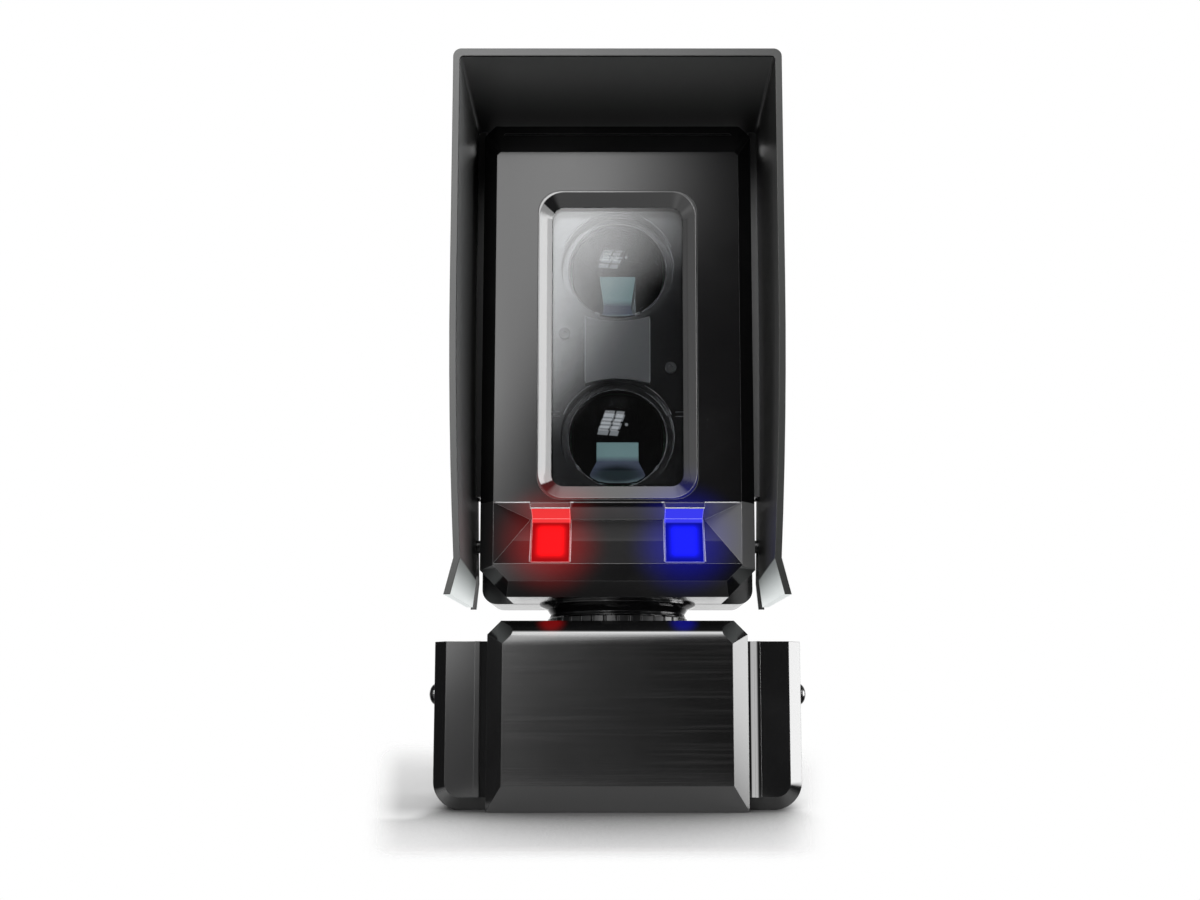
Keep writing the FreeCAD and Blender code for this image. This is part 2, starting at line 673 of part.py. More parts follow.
def make_base_cover():
    """The cover: a box with bevelled front, and a wing on each side."""
    body = new_body("BaseCover")
    half = base_width / 2
    wings = sketch_loops(body, "CoverWings", "XZ_Plane", cover_back,
                         rectangle(-half, half, foot, foot + wing_height))
    pad(body, wings, wing_depth - cover_back)
    ease(body, "Fillet", wing_corner,
         lambda edge: runs_along(edge, "y") and near(edge.CenterOfMass.z, foot))
    ease(body, "Chamfer", wing_bevel,
         lambda edge: near(edge.CenterOfMass.y, -wing_depth)
         and not near(edge.CenterOfMass.z, foot + wing_height))
    ribs = [rectangle(side * wing_rib_place - wing_rib_width / 2,
                      side * wing_rib_place + wing_rib_width / 2,
                      foot + wing_bevel, foot + wing_height) for side in (-1, 1)]
    pad(body, sketch_loops(body, "CoverRibs", "XZ_Plane", wing_depth - wing_bevel, *ribs),
        wing_bevel + wing_rib_rise)
    side = box_width / 2
    box_points = mirrored([(side, foot), (side, base_top - box_corner), (side - box_corner, base_top)])
    box_points_front = mirrored([
        (side - box_bevel_side, foot + box_bevel_foot),
        (side - box_bevel_side, base_top - box_bevel_top - box_corner),
        (side - box_bevel_side - box_corner, base_top - box_bevel_top),
    ])
    shoulder = box_depth - box_bevel_depth
    pad(body, sketch_loops(body, "CoverBox", "XZ_Plane", cover_back, box_points), shoulder - cover_back)
    loft(body, "AdditiveLoft",
         sketch_loops(body, "CoverShoulder", "XZ_Plane", shoulder, box_points),
         sketch_loops(body, "CoverFront", "XZ_Plane", box_depth, box_points_front))
    ease(body, "Fillet", box_brow,
         lambda edge: runs_along(edge, "x") and near(edge.CenterOfMass.y, -box_depth)
         and near(edge.CenterOfMass.z, base_top - box_bevel_top))
    inner = half - cover_wall
    carve(body, sketch_loops(body, "CoverWingRoom", "XZ_Plane", cover_back,
                             rectangle(-inner, inner, foot + cover_wall, foot + wing_height - cover_wall)),
          wing_depth - wing_bevel - cover_back, along_normal=True)
    ease(body, "Fillet", wing_corner - cover_wall,
         lambda edge: runs_along(edge, "y") and near(edge.CenterOfMass.z, foot + cover_wall)
         and near(abs(edge.CenterOfMass.x), inner))
    inner = side - cover_wall
    carve(body, sketch_loops(body, "CoverBoxRoom", "XZ_Plane", cover_back,
                             rectangle(-inner, inner, foot + cover_wall, base_top - cover_wall)),
          box_depth - cover_front_wall - cover_back, along_normal=True)
    boss = journal_radius + fit_gap + cover_wall
    pad(body, sketch_circles(body, "CoverBoss", "XY_Plane", base_top - cover_wall / 2,
                             [(0, -axis_depth, boss)]), bearing_length - cover_wall / 2, backward=True)
    carve(body, sketch_circles(body, "CoverBore", "XY_Plane", base_top,
                               [(0, -axis_depth, journal_radius + fit_gap)]), bearing_length)
    carve(body, sketch_circles(body, "CoverConduit", "XY_Plane", foot,
                               [(0, -conduit_depth, conduit_radius)]), cover_wall, along_normal=True)
    carve(body, sketch_circles(body, "CoverScrewHoles", "YZ_Plane", 0,
                               [(-side_screw_depth, foot + side_screw_rise, side_shank_radius + slip)]),
          base_width, both_ways=True)
    node(body, "base_cover")


def make_wall_plate():
    """The plate that is screwed to the wall, with an ear along each side wall."""
    body = new_body("WallPlate")
    pad(body, sketch_loops(body, "PlateOutline", "XZ_Plane", 0, base_outline(plate_inset)), plate_thick)
    ease(body, "Fillet", wing_corner,
         lambda edge: runs_along(edge, "y") and near(edge.CenterOfMass.z, foot + plate_inset))
    outer = base_width / 2 - cover_wall - slip
    level = foot + side_screw_rise
    reach = wing_depth - wing_bevel - slip - plate_thick / 2
    ears = [rectangle(side * (outer - ear_thick / 2) - ear_thick / 2,
                      side * (outer - ear_thick / 2) + ear_thick / 2,
                      level - ear_tall / 2, level + ear_tall / 2 - slip) for side in (-1, 1)]
    pad(body, sketch_loops(body, "PlateEars", "XZ_Plane", plate_thick / 2, *ears), reach)
    carve(body, sketch_circles(body, "PlateScrewHoles", "YZ_Plane", 0,
                               [(-side_screw_depth, level, side_shank_radius + fit_gap)]),
          base_width, both_ways=True)
    run = slot_length / 2 - slot_radius
    slots = [[(side * slot_spacing / 2 - run, -slot_radius),
              (side * slot_spacing / 2 + run, -slot_radius, -slot_radius),
              (side * slot_spacing / 2 + run, slot_radius),
              (side * slot_spacing / 2 - run, slot_radius, -slot_radius)] for side in (-1, 1)]
    carve(body, sketch_loops(body, "PlateSlots", "XZ_Plane", 0, *slots), plate_thick, along_normal=True)
    node(body, "wall_plate")


def make_base_seal():
    """The flat seal between the wall plate and the cover."""
    body = new_body("BaseSeal")
    inset = plate_inset + slip
    room_corner = seal_corner - seal_width * CORNER_TRIM
    pad(body, sketch_loops(body, "BaseSealRing", "XZ_Plane", plate_thick,
                           base_outline(inset, seal_corner)), seal_thick)
    carve(body, sketch_loops(body, "BaseSealRoom", "XZ_Plane", plate_thick,
                             base_outline(inset + seal_width, room_corner)),
          seal_thick, along_normal=True)
    node(body, "base_seal")


def make_side_screws():
    """One screw through each wing into the plate's ear."""
    level = foot + side_screw_rise
    reach = cover_wall + slip + ear_thick + cover_wall / 2
    right = screw("SideScrewRight", (base_width / 2, -side_screw_depth, level), "x",
                  side_head_radius, side_head_thick, side_shank_radius, reach, side_shank_radius)
    left = screw("SideScrewLeft", (-base_width / 2, -side_screw_depth, level), "-x",
                 side_head_radius, side_head_thick, side_shank_radius, reach, side_shank_radius)
    node(group("SideScrews", [right, left]), "side_screws")


def make_terminal_block():
    """A screw terminal on the wall plate, and its screws."""
    low = foot + terminal_rise
    top = low + terminal_tall
    body = block("TerminalBody", (-terminal_width / 2, -plate_thick - terminal_deep, low),
                 (terminal_width / 2, -plate_thick, top))
    middle = low + terminal_tall / 2
    well = -plate_thick - terminal_deep / 2
    holes = []
    screws = []
    for number in range(TERMINAL_WAYS):
        x = (number - (TERMINAL_WAYS - 1) / 2) * terminal_pitch
        holes.append(rod(f"TerminalWire{number}", (x, -plate_thick - terminal_deep, middle),
                         "y", terminal_bore, terminal_reach))
        holes.append(rod(f"TerminalWell{number}", (x, well, middle), "z",
                         terminal_bore + fit_gap, terminal_tall / 2))
        screws.append(screw(f"TerminalScrew{number}", (x, well, middle + terminal_bore), "z", terminal_bore,
                            small_head_thick, small_shank, 2 * terminal_bore - slip, small_drive))
    node(cut("TerminalBlock", body, *holes), "terminal_block")
    node(group("TerminalScrews", screws), "terminal_screws")


def make_cable_grommet():
    """The rubber plug in the floor of the cover, with the cable's bore."""
    low = foot + slip
    plug = rod("GrommetPlug", (0, -conduit_depth, low), "z", conduit_radius - fit_gap, cover_wall - slip)
    lip = rod("GrommetLip", (0, -conduit_depth, foot + cover_wall), "z",
              conduit_radius + grommet_lip, grommet_lip)
    bore = rod("GrommetBore", (0, -conduit_depth, low), "z", cable_radius, cover_wall + grommet_lip)
    node(cut("CableGrommet", fuse("GrommetBlank", plug, lip), bore), "cable_grommet")


def make_harness():
    """The wires from the terminal block to the head, along the swivel axis."""
    level = foot + terminal_rise + terminal_tall / 2
    start = plate_thick + terminal_deep
    bend_depth = axis_depth - harness_bend
    flat_run = rod("HarnessFlat", (0, -bend_depth, level), "y", harness_radius, bend_depth - start)
    bend = doc.addObject("Part::Torus", "HarnessBend")
    bind(bend, "Radius1", harness_bend)
    bind(bend, "Radius2", harness_radius)
    bend.Angle3 = 90
    stand = FreeCAD.Rotation(FreeCAD.Vector(0, -1, 0), FreeCAD.Vector(0, 0, -1),
                             FreeCAD.Vector(1, 0, 0), "XYZ")
    centre = (0, -bend_depth, level + harness_bend)
    bend.Placement = FreeCAD.Placement(vector(*centre), stand)
    for axis, value in zip("xyz", centre):
        bind(bend, f"Placement.Base.{axis}", value)
    up_run = rod("HarnessUp", (0, -axis_depth, level + harness_bend), "z", harness_radius,
                 board_low - slip - level - harness_bend)
    node(fuse("WireHarness", flat_run, bend, up_run), "wire_harness")


def make_index_ring():
    """The notched ring on the base that the neck turns over."""
    ring = tube("IndexBlank", (0, -axis_depth, base_top), "z", index_radius, index_bore, index_rise)
    notches = []
    for number in range(INDEX_NOTCHES):
        angle = 2 * math.pi * number / INDEX_NOTCHES
        spot = (index_radius * math.cos(angle), index_radius * math.sin(angle) - axis_depth, base_top)
        notches.append(rod(f"IndexNotch{number}", spot, "z", index_notch, index_rise))
    node(cut("IndexRing", ring, *notches), "index_ring")


# Neck

def on_axis(body):
    """Stand a body that is turned about its own Z on the swivel axis, at the base's top."""
    place(body, (0, -axis_depth, base_top))


def make_neck():
    """The turned neck: a journal below, a waist, and a disc under the head."""
    start = index_rise + slip
    cord_floor = journal_radius - 2 * cord_radius - fit_gap
    points = [
        (neck_bore, groove_foot - neck_tail),
        (journal_radius, groove_foot - neck_tail),
        (journal_radius, groove_foot),
        (journal_radius - circlip_depth, groove_foot),
        (journal_radius - circlip_depth, groove_top),
        (journal_radius, groove_top),
        (journal_radius, cord_level - cord_half),
        (cord_floor, cord_level - cord_half),
        (cord_floor, cord_level + cord_half),
        (journal_radius, cord_level + cord_half),
        (journal_radius, start),
        (neck_foot_radius, start),
        (neck_waist_radius, start + neck_foot_slope),
        (neck_flare_radius, neck_gap - neck_flare_drop),
        (neck_disc_radius, neck_gap - neck_disc_edge),
        (neck_disc_radius, neck_gap),
        (neck_bore, neck_gap),
    ]
    body = new_body("Neck")
    turn(body, "NeckProfile", points)
    carve(body, sketch_circles(body, "NeckScrewHoles", "XY_Plane", neck_gap,
                               [(x, y, small_shank + fit_gap) for x, y in neck_screw_spots()]),
          neck_screw_grip + slip)
    on_axis(body)
    node(body, "neck")


def neck_screw_spots():
    """Where the four neck screws stand, from the swivel axis."""
    return [(neck_screw_circle * right * math.sqrt(0.5), neck_screw_circle * back * math.sqrt(0.5))
            for right in (-1, 1) for back in (-1, 1)]


def make_neck_rings():
    """The seal ring, the friction washer and the retaining ring on the neck."""
    ring = doc.addObject("Part::Torus", "NeckSealRing")
    bind(ring, "Radius1", journal_radius - cord_radius - fit_gap / 2)
    bind(ring, "Radius2", cord_radius)
    place(ring, (0, -axis_depth, base_top + cord_level))
    node(ring, "neck_seal_ring")
    washer = tube("FrictionWasher", (0, -axis_depth, base_top + groove_top), "z",
                  journal_radius + circlip_width - fit_gap, journal_radius + fit_gap, washer_thick)
    node(washer, "friction_washer")
    clip_low = base_top + groove_foot + fit_gap
    clip = tube("CirclipRing", (0, -axis_depth, clip_low), "z",
                journal_radius - circlip_depth + circlip_width,
                journal_radius - circlip_depth + fit_gap, circlip_thick)
    mouth = block("CirclipMouth", (-2 * circlip_width, -axis_depth, clip_low),
                  (2 * circlip_width, -axis_depth + journal_radius + 2 * circlip_width,
                   clip_low + circlip_thick))
    node(cut("RetainingRing", clip, mouth), "retaining_ring")


def make_neck_screws():
    """Four screws from inside the head down into the neck."""
    screws = []
    for number, (x, y) in enumerate(neck_screw_spots()):
        screws.append(screw(f"NeckScrew{number}", (x, y - axis_depth, underside + shell_wall), "z",
                            neck_head_radius, neck_head_thick, small_shank,
                            shell_wall + neck_screw_grip, small_drive))
    node(group("NeckScrews", screws), "neck_screws")


# Head shells

def shell_screw_spots():
    """The four shell screws, as X and Z."""
    return [(side * boss_place, z) for side in (-1, 1)
            for z in (underside + chin_corner + post_radius, head_top - boss_inset)]


def board_screw_spots():
    """The four circuit board screws, as X and Z."""
    return [(side * board_hole_x, z) for side in (-1, 1)
            for z in (board_low + board_hole_rise, board_high - board_hole_drop)]


def make_front_shell():
    """The front shell: bevelled face, window opening, lamp notch and chin."""
    body = new_body("FrontShell")
    shoulder = face_depth - head_bevel
    pad(body, sketch_loops(body, "ShellBack", "XZ_Plane", front_back, shell_outline(0)),
        shoulder - front_back)
    loft(body, "AdditiveLoft",
         sketch_loops(body, "ShellShoulder", "XZ_Plane", shoulder, shell_outline(0)),
         sketch_loops(body, "ShellFace", "XZ_Plane", face_depth,
                      head_outline(face_width, band_foot, face_top, band_corner, face_corner)))
    # The notch: its mouth on the face, narrowing to a line
    mouth = mirrored([(notch_mouth, band_top), (notch_mouth, face_foot)])
    line = mirrored([(notch_half, face_foot - notch_line - slip), (notch_half, face_foot - notch_line)])
    loft(body, "SubtractiveLoft",
         sketch_loops(body, "NotchMouth", "XZ_Plane", face_depth, mouth),
         sketch_loops(body, "NotchLine", "XZ_Plane", face_depth - notch_depth, line))
    # Room behind the face, and behind the notch
    room = head_width / 2 - shell_wall
    seat_foot = bezel_foot + bezel_band - bezel_ledge
    carve(body, sketch_loops(body, "ShellRoom", "XZ_Plane", front_back,
                             head_outline(2 * room, seat_foot - slip, head_top - shell_wall,
                                          face_corner, crown_corner)),
          face_depth - shell_wall - front_back, along_normal=True)
    carve(body, sketch_loops(body, "ShellLampRoom", "XZ_Plane", front_back,
                             head_outline(2 * room, underside + shell_wall, seat_foot + shell_wall,
                                          chin_corner, face_corner)),
          lamp_wall_depth - front_back, along_normal=True)
    # Posts for the circuit board and for the rear shell's screws
    posts = [(x, z, post_radius) for x, z in board_screw_spots()]
    pad(body, sketch_circles(body, "ShellPosts", "XZ_Plane", board_front, posts),
        face_depth - shell_wall / 2 - board_front)
    carve(body, sketch_circles(body, "ShellPostHoles", "XZ_Plane", board_front,
                               [(x, z, small_shank + fit_gap) for x, z in board_screw_spots()]),
          pilot_depth, along_normal=True)
    bosses = [(x, z, post_radius) for x, z in shell_screw_spots()]
    pad(body, sketch_circles(body, "ShellBosses", "XZ_Plane", front_back, bosses),
        lamp_wall_depth + slip - front_back)
    carve(body, sketch_circles(body, "ShellBossHoles", "XZ_Plane", front_back,
                               [(x, z, small_shank + fit_gap) for x, z in shell_screw_spots()]),
          pilot_depth, along_normal=True)
    # The window opening
    opening = bezel_width / 2 + fit_gap
    carve(body, sketch_loops(body, "ShellOpening", "XZ_Plane", face_depth,
                             rounded(-opening, opening, bezel_foot - fit_gap,
                                     bezel_foot + bezel_height + fit_gap, bezel_radius + fit_gap)),
          face_depth - bezel_back)
    # Holes for the light pipes
    half = lamp_width / 2 + fit_gap
    pipes = [rectangle(side * lamp_place - half, side * lamp_place + half,
                       pipe_low - fit_gap, pipe_high + fit_gap) for side in (-1, 1)]
    carve(body, sketch_loops(body, "ShellPipeHoles", "XZ_Plane", face_depth, *pipes),
          face_depth - lamp_wall_depth + slip)
    # Passage and screws of the neck, and the hood's screws
    carve(body, sketch_circles(body, "ShellPassage", "XY_Plane", underside,
                               [(0, -axis_depth, neck_bore)]), shell_wall, along_normal=True)
    carve(body, sketch_circles(body, "ShellNeckHoles", "XY_Plane", underside,
                               [(x, y - axis_depth, small_shank + fit_gap)
                                for x, y in neck_screw_spots() if y.value < 0]),
          shell_wall, along_normal=True)
    level = underside + hood_screw_rise
    stub = head_width / 2 - shell_wall / 2
    for side, turned in ((1, False), (-1, True)):
        pad(body, sketch_circles(body, f"ShellHoodBoss{'RL'[turned]}", "YZ_Plane", side * stub,
                                 [(-hood_screw_depth, level, hood_boss_radius)]),
            shell_wall / 2 + hood_boss_rise, backward=turned)
    carve(body, sketch_circles(body, "ShellHoodHoles", "YZ_Plane", 0,
                               [(-hood_screw_depth, level, hood_shank_radius + fit_gap)]),
          head_width + 2 * hood_boss_rise, both_ways=True)
    node(body, "front_shell")


def make_rear_shell():
    """The rear shell, a little wider than the front shell, with recessed screws."""
    body = new_body("RearShell")
    half = head_width / 2 + rear_step
    top = head_top + rear_lift
    pad(body, sketch_loops(body, "RearOutline", "XZ_Plane", head_rear,
                           rectangle(-half, half, underside, top)), rear_front - head_rear)
    ease(body, "Fillet", rear_corner, lambda edge: runs_along(edge, "y"))
    ease(body, "Chamfer", rear_round,
         lambda edge: near(edge.CenterOfMass.y, -head_rear))
    inner = half - shell_wall
    carve(body, sketch_loops(body, "RearRoom", "XZ_Plane", rear_front,
                             head_outline(2 * inner, underside + shell_wall, top - shell_wall,
                                          rear_floor_corner, crown_corner)),
          rear_front - head_rear - rear_round)
    pad(body, sketch_circles(body, "RearPillars", "XZ_Plane", rear_front,
                             [(x, z, pillar_radius) for x, z in shell_screw_spots()]),
        rear_front - head_rear - shell_wall, backward=True)
    carve(body, sketch_circles(body, "RearScrewHoles", "XZ_Plane", rear_front,
                               [(x, z, small_shank + slip) for x, z in shell_screw_spots()]),
          rear_front - head_rear + slip)
    carve(body, sketch_circles(body, "RearScrewWells", "XZ_Plane", head_rear,
                               [(x, z, shell_head_radius + slip) for x, z in shell_screw_spots()]),
          rear_round + shell_wall, along_normal=True)
    carve(body, sketch_circles(body, "RearPassage", "XY_Plane", underside,
                               [(0, -axis_depth, neck_bore)]), shell_wall, along_normal=True)
    carve(body, sketch_circles(body, "RearNeckHoles", "XY_Plane", underside,
                               [(x, y - axis_depth, small_shank + fit_gap)
                                for x, y in neck_screw_spots() if y.value > 0]),
          shell_wall, along_normal=True)
    node(body, "rear_shell")


def make_shell_seal():
    """The flat seal between the two shells."""
    body = new_body("ShellSeal")
    inset = seal_thick / 2
    pad(body, sketch_loops(body, "ShellSealRing", "XZ_Plane", rear_front, shell_outline(inset)), seal_thick)
    carve(body, sketch_loops(body, "ShellSealRoom", "XZ_Plane", rear_front,
                             shell_outline(inset + seal_width)), seal_thick, along_normal=True)
    carve(body, sketch_circles(body, "ShellSealPassage", "XY_Plane", underside,
                               [(0, -axis_depth, neck_bore)]), shell_wall, along_normal=True)
    node(body, "shell_seal")


def make_shell_screws():
    """Four screws that hold the shells together, from the back."""
    seat = head_rear + rear_round + shell_wall
    screws = [screw(f"ShellScrew{number}", (x, -seat, z), "y", shell_head_radius, shell_head_thick,
                    small_shank, front_back - seat + screw_grip, small_shank)
              for number, (x, z) in enumerate(shell_screw_spots())]
    node(group("ShellScrews", screws), "shell_screws")


# Window and optics

def make_bezel():
    """The frame round the window: a band that slopes in, and a ledge behind it."""
    body = new_body("Bezel")
    half = bezel_width / 2
    tall = bezel_height / 2
    pad(body, sketch_loops(body, "BezelOutline", "XZ_Plane", bezel_back,
                           rounded(-half, half, -tall, tall, bezel_radius)), face_depth - bezel_back)
    inner = half - bezel_band
    inner_tall = tall - bezel_band
    carve(body, sketch_loops(body, "BezelSight", "XZ_Plane", face_depth,
                             rounded(-inner, inner, -inner_tall, inner_tall, bezel_inner_radius)),
          face_depth - bezel_back)
    ease(body, "Chamfer", bezel_band - bezel_rim,
         lambda edge: near(edge.CenterOfMass.y, -face_depth)
         and abs(edge.CenterOfMass.x) <= inner.value + TOUCH
         and abs(edge.CenterOfMass.z) <= inner_tall.value + TOUCH, bezel_sink)
    seat = inner + bezel_ledge
    seat_tall = inner_tall + bezel_ledge
    carve(body, sketch_loops(body, "BezelSeat", "XZ_Plane", bezel_back,
                             rounded(-seat, seat, -seat_tall, seat_tall, plate_corner)),
          window_front - bezel_back, along_normal=True)
    place(body, (0, 0, bezel_middle))
    node(body, "bezel")


def seated_plate(name, back_depth, thick):
    """A plate with rounded corners that drops into the bezel from behind."""
    body = new_body(name)
    margin = bezel_ledge - bezel_band - fit_gap
    half = bezel_width / 2 + margin
    tall = bezel_height / 2 + margin
    pad(body, sketch_loops(body, name + "Outline", "XZ_Plane", back_depth,
                           rounded(-half, half, -tall, tall, plate_corner)), thick)
    place(body, (0, 0, bezel_middle))
    return body, half, tall


def make_window():
    """The tinted window and the gasket behind it."""
    node(seated_plate("Window", window_back, window_thick)[0], "window")
    body, half, tall = seated_plate("WindowGasket", carrier_front, gasket_thick)
    half = half - gasket_width
    tall = tall - gasket_width
    carve(body, sketch_loops(body, "GasketRoom", "XZ_Plane", carrier_front,
                             rectangle(-half, half, -tall, tall)), gasket_thick, along_normal=True)
    node(body, "window_gasket")


def lens_levels():
    """The heights of the two lenses over the bezel's middle."""
    return low_lens - bezel_middle, high_lens - bezel_middle


def screw_levels():
    """The two carrier screws, as X and height over the bezel's middle."""
    middle = (low_lens + high_lens) / 2 - bezel_middle
    return [(-screw_offset, middle + screw_stagger), (screw_offset, middle - screw_stagger)]


def make_optics_carrier():
    """The plate that holds both lenses, with a light tunnel behind each."""
    back = carrier_front - carrier_thick
    body = seated_plate("OpticsCarrier", back, carrier_thick)[0]
    tubes = [(0, z, tunnel_radius + tunnel_wall) for z in lens_levels()]
    pad(body, sketch_circles(body, "CarrierTunnels", "XZ_Plane", back + carrier_thick / 2, tubes),
        back + carrier_thick / 2 - tunnel_depth, backward=True)
    carve(body, sketch_circles(body, "CarrierSeats", "XZ_Plane", carrier_front,
                               [(0, z, tunnel_radius) for z in lens_levels()]), carrier_front - lens_back)
    carve(body, sketch_circles(body, "CarrierLight", "XZ_Plane", carrier_front,
                               [(0, z, lens_radius - lens_rim) for z in lens_levels()]),
          carrier_front - tunnel_depth)
    carve(body, sketch_circles(body, "CarrierScrewHoles", "XZ_Plane", carrier_front,
                               [(x, z, small_shank + fit_gap) for x, z in screw_levels()]), carrier_thick)
    node(body, "optics_carrier")


def make_lens(name, label, level):
    """A domed lens with a thin rim."""
    curve = (lens_radius * lens_radius + lens_crown * lens_crown) / (2 * lens_crown)
    rim = doc.addObject("Part::Cylinder", name + "Rim")
    bind(rim, "Radius", lens_radius)
    bind(rim, "Height", lens_crown + lens_rim)
    place(rim, (0, -lens_back, level), "-y")
    ball = doc.addObject("Part::Sphere", name + "Ball")
    bind(ball, "Radius", curve)
    place(ball, (0, curve - lens_front, level))
    lens = doc.addObject("Part::Common", name)
    lens.Base = rim
    lens.Tool = ball
    node(lens, label)
    ring = tube(name + "Ring", (0, -(lens_back + lens_rim), level), "-y", tunnel_radius - fit_gap,
                lens_radius - ring_width / 2, ring_thick)
    dome = doc.addObject("Part::Sphere", name + "RingRoom")
    bind(dome, "Radius", curve + fit_gap)
    place(dome, (0, curve - lens_front, level))
    node(cut(name + "RingCut", ring, dome), label + "_ring")


def make_centre_block():
    """The block between the lenses, with a hollow end towards each."""
    body = new_body("CentreBlock")
    half = block_width / 2
    tall = block_height / 2
    bow = (half * half + block_dip * block_dip) / (2 * block_dip)
    points = [(-half, -tall, bow), (half, -tall), (half, tall, bow), (-half, tall)]
    pad(body, sketch_loops(body, "BlockOutline", "XZ_Plane", carrier_front, points), block_thick)
    place(body, (0, 0, (low_lens + high_lens) / 2))
    node(body, "centre_block")


def make_carrier_screws():
    """The two small screws in the carrier's face, and the posts on the board that take them."""
    back = carrier_front - carrier_thick
    screws = []
    posts = []
    for number, (x, z) in enumerate(screw_levels()):
        level = z + bezel_middle
        screws.append(screw(f"CarrierScrew{number}", (x, -carrier_front, level), "-y", small_head,
                            small_head_thick, small_shank, carrier_thick + carrier_grip, small_drive))
        posts.append(tube(f"CarrierPost{number}", (x, -board_front, level), "-y", post_radius,
                          small_shank + fit_gap, back - board_front))
    node(group("CarrierScrews", screws), "carrier_screws")
    node(group("CarrierPosts", posts), "carrier_posts")


def make_boards():
    """The circuit board with its sensor chips, heater and connector, and its screws."""
    panel = block("BoardPanel", (-board_width / 2, -board_front, board_low),
                  (board_width / 2, -board_depth, board_high))
    holes = [rod(f"BoardHole{number}", (x, -board_front, z), "y", small_shank + fit_gap, board_thick)
             for number, (x, z) in enumerate(board_screw_spots())]
    node(cut("CircuitBoard", panel, *holes), "circuit_board")
    screws = [screw(f"BoardScrew{number}", (x, -board_depth, z), "y", board_head_radius, small_head_thick,
                    small_shank, board_thick + screw_grip, small_drive)
              for number, (x, z) in enumerate(board_screw_spots())]
    node(group("BoardScrews", screws), "board_screws")
    half = chip_side / 2
    for label, level in (("ir_receiver", low_lens), ("ir_emitter", high_lens)):
        chip = block("Chip_" + label, (-half, -board_front - chip_thick, level - half),
                     (half, -board_front, level + half))
        node(chip, label)
    middle = (low_lens + high_lens) / 2
    heater = rod("Heater", (-heater_length / 2, -board_front - heater_radius, middle), "x",
                 heater_radius, heater_length)
    node(heater, "heater_resistor")
    width = socket_width / 2
    top = board_low + socket_side
    plug = block("SocketBody", (-width, -board_depth, board_low), (width, -board_depth + socket_side, top))
    room = block("SocketRoom", (-width + socket_wall, -board_depth + socket_wall, top - socket_side / 2),
                 (width - socket_wall, -board_depth + socket_side - socket_wall, top))
    node(cut("BoardConnector", plug, room), "board_connector")


def make_light_pipe(name, label, place_x):
    """A clear pipe that follows the notch's corner, with a lip behind the wall."""
    lip_front = lamp_wall_depth - lamp_lip
    line = face_depth - notch_depth + lamp_proud
    body = new_body(name)
    points = [
        (-(face_depth - lamp_margin), pipe_high), (-lip_front, pipe_high),
        (-lip_front, pipe_low), (-(face_depth - lamp_margin * 2), pipe_low),
        (-line, face_foot - notch_line),
    ]
    pad(body, sketch_loops(body, name + "Side", "YZ_Plane", -lamp_width / 2, points), lamp_width)
    half = lamp_width / 2 + lamp_lip
    pad(body, sketch_loops(body, name + "Lip", "XZ_Plane", lip_front,
                           rectangle(-half, half, pipe_low - lamp_lip, pipe_high + lamp_lip)), lamp_lip)
    place(body, (place_x, 0, 0))
    node(body, label)


def make_lamps():
    """The lamp board behind the notch, with its chips, posts and screws."""
    middle = (pipe_low + pipe_high) / 2
    board_face = led_board_depth + led_board_thick
    half = led_side / 2
    for side, colour in ((-1, "red"), (1, "blue")):
        x = side * lamp_place
        make_light_pipe(colour.capitalize() + "Pipe", colour + "_light_pipe", x)
        chip = block(colour.capitalize() + "Led", (x - half, -(board_face + led_thick), middle - half),
                     (x + half, -board_face, middle + half))
        node(chip, colour + "_led")
    edge = lamp_place + lamp_width / 2
    panel = block("LampPanel", (-edge, -board_face, pipe_low), (edge, -led_board_depth, pipe_high))
    holes = []
    posts = []
    screws = []
    for number, x in enumerate((-lamp_hole_place, lamp_hole_place)):
        bore = small_shank + fit_gap
        holes.append(rod(f"LampHole{number}", (x, -board_face, middle), "y", bore, led_board_thick))
        posts.append(tube(f"LampPost{number}", (x, -board_face, middle), "-y", post_radius, bore,
                          lamp_wall_depth - board_face))
        screws.append(screw(f"LampScrew{number}", (x, -led_board_depth, middle), "y", small_head,
                            small_head_thick, small_shank, led_board_thick + post_radius, small_drive))
    node(cut("LampBoard", panel, *holes), "lamp_board")
    node(group("LampPosts", posts), "lamp_posts")
    node(group("LampScrews", screws), "lamp_screws")


# Hood

def hood_points(waist, flare, crease_level, inset, roof):
    """The right side of the hood in front view, bottom to top, with a gentle bow."""
    half = hood_width / 2
    bend = underside + hood_bend
    bow = []
    for step in range(HOOD_STEPS, -1, -1):
        share = step / HOOD_STEPS
        bow.append((half - inset - (half - waist) * share ** 2, bend - (bend - crease_level) * share))
    foot_point = (flare - inset, underside - hood_foot)
    return [foot_point] + bow + [(half - inset, head_top + hood_top - roof)]


def hood_loop(waist, flare, crease_level):
    """The closed front view of the hood: outside up and over, inside back."""
    outside = hood_points(waist, flare, crease_level, 0, 0)
    inside = hood_points(waist, flare, crease_level, hood_wall, hood_roof)
    return mirrored(outside) + mirrored(inside)[::-1]


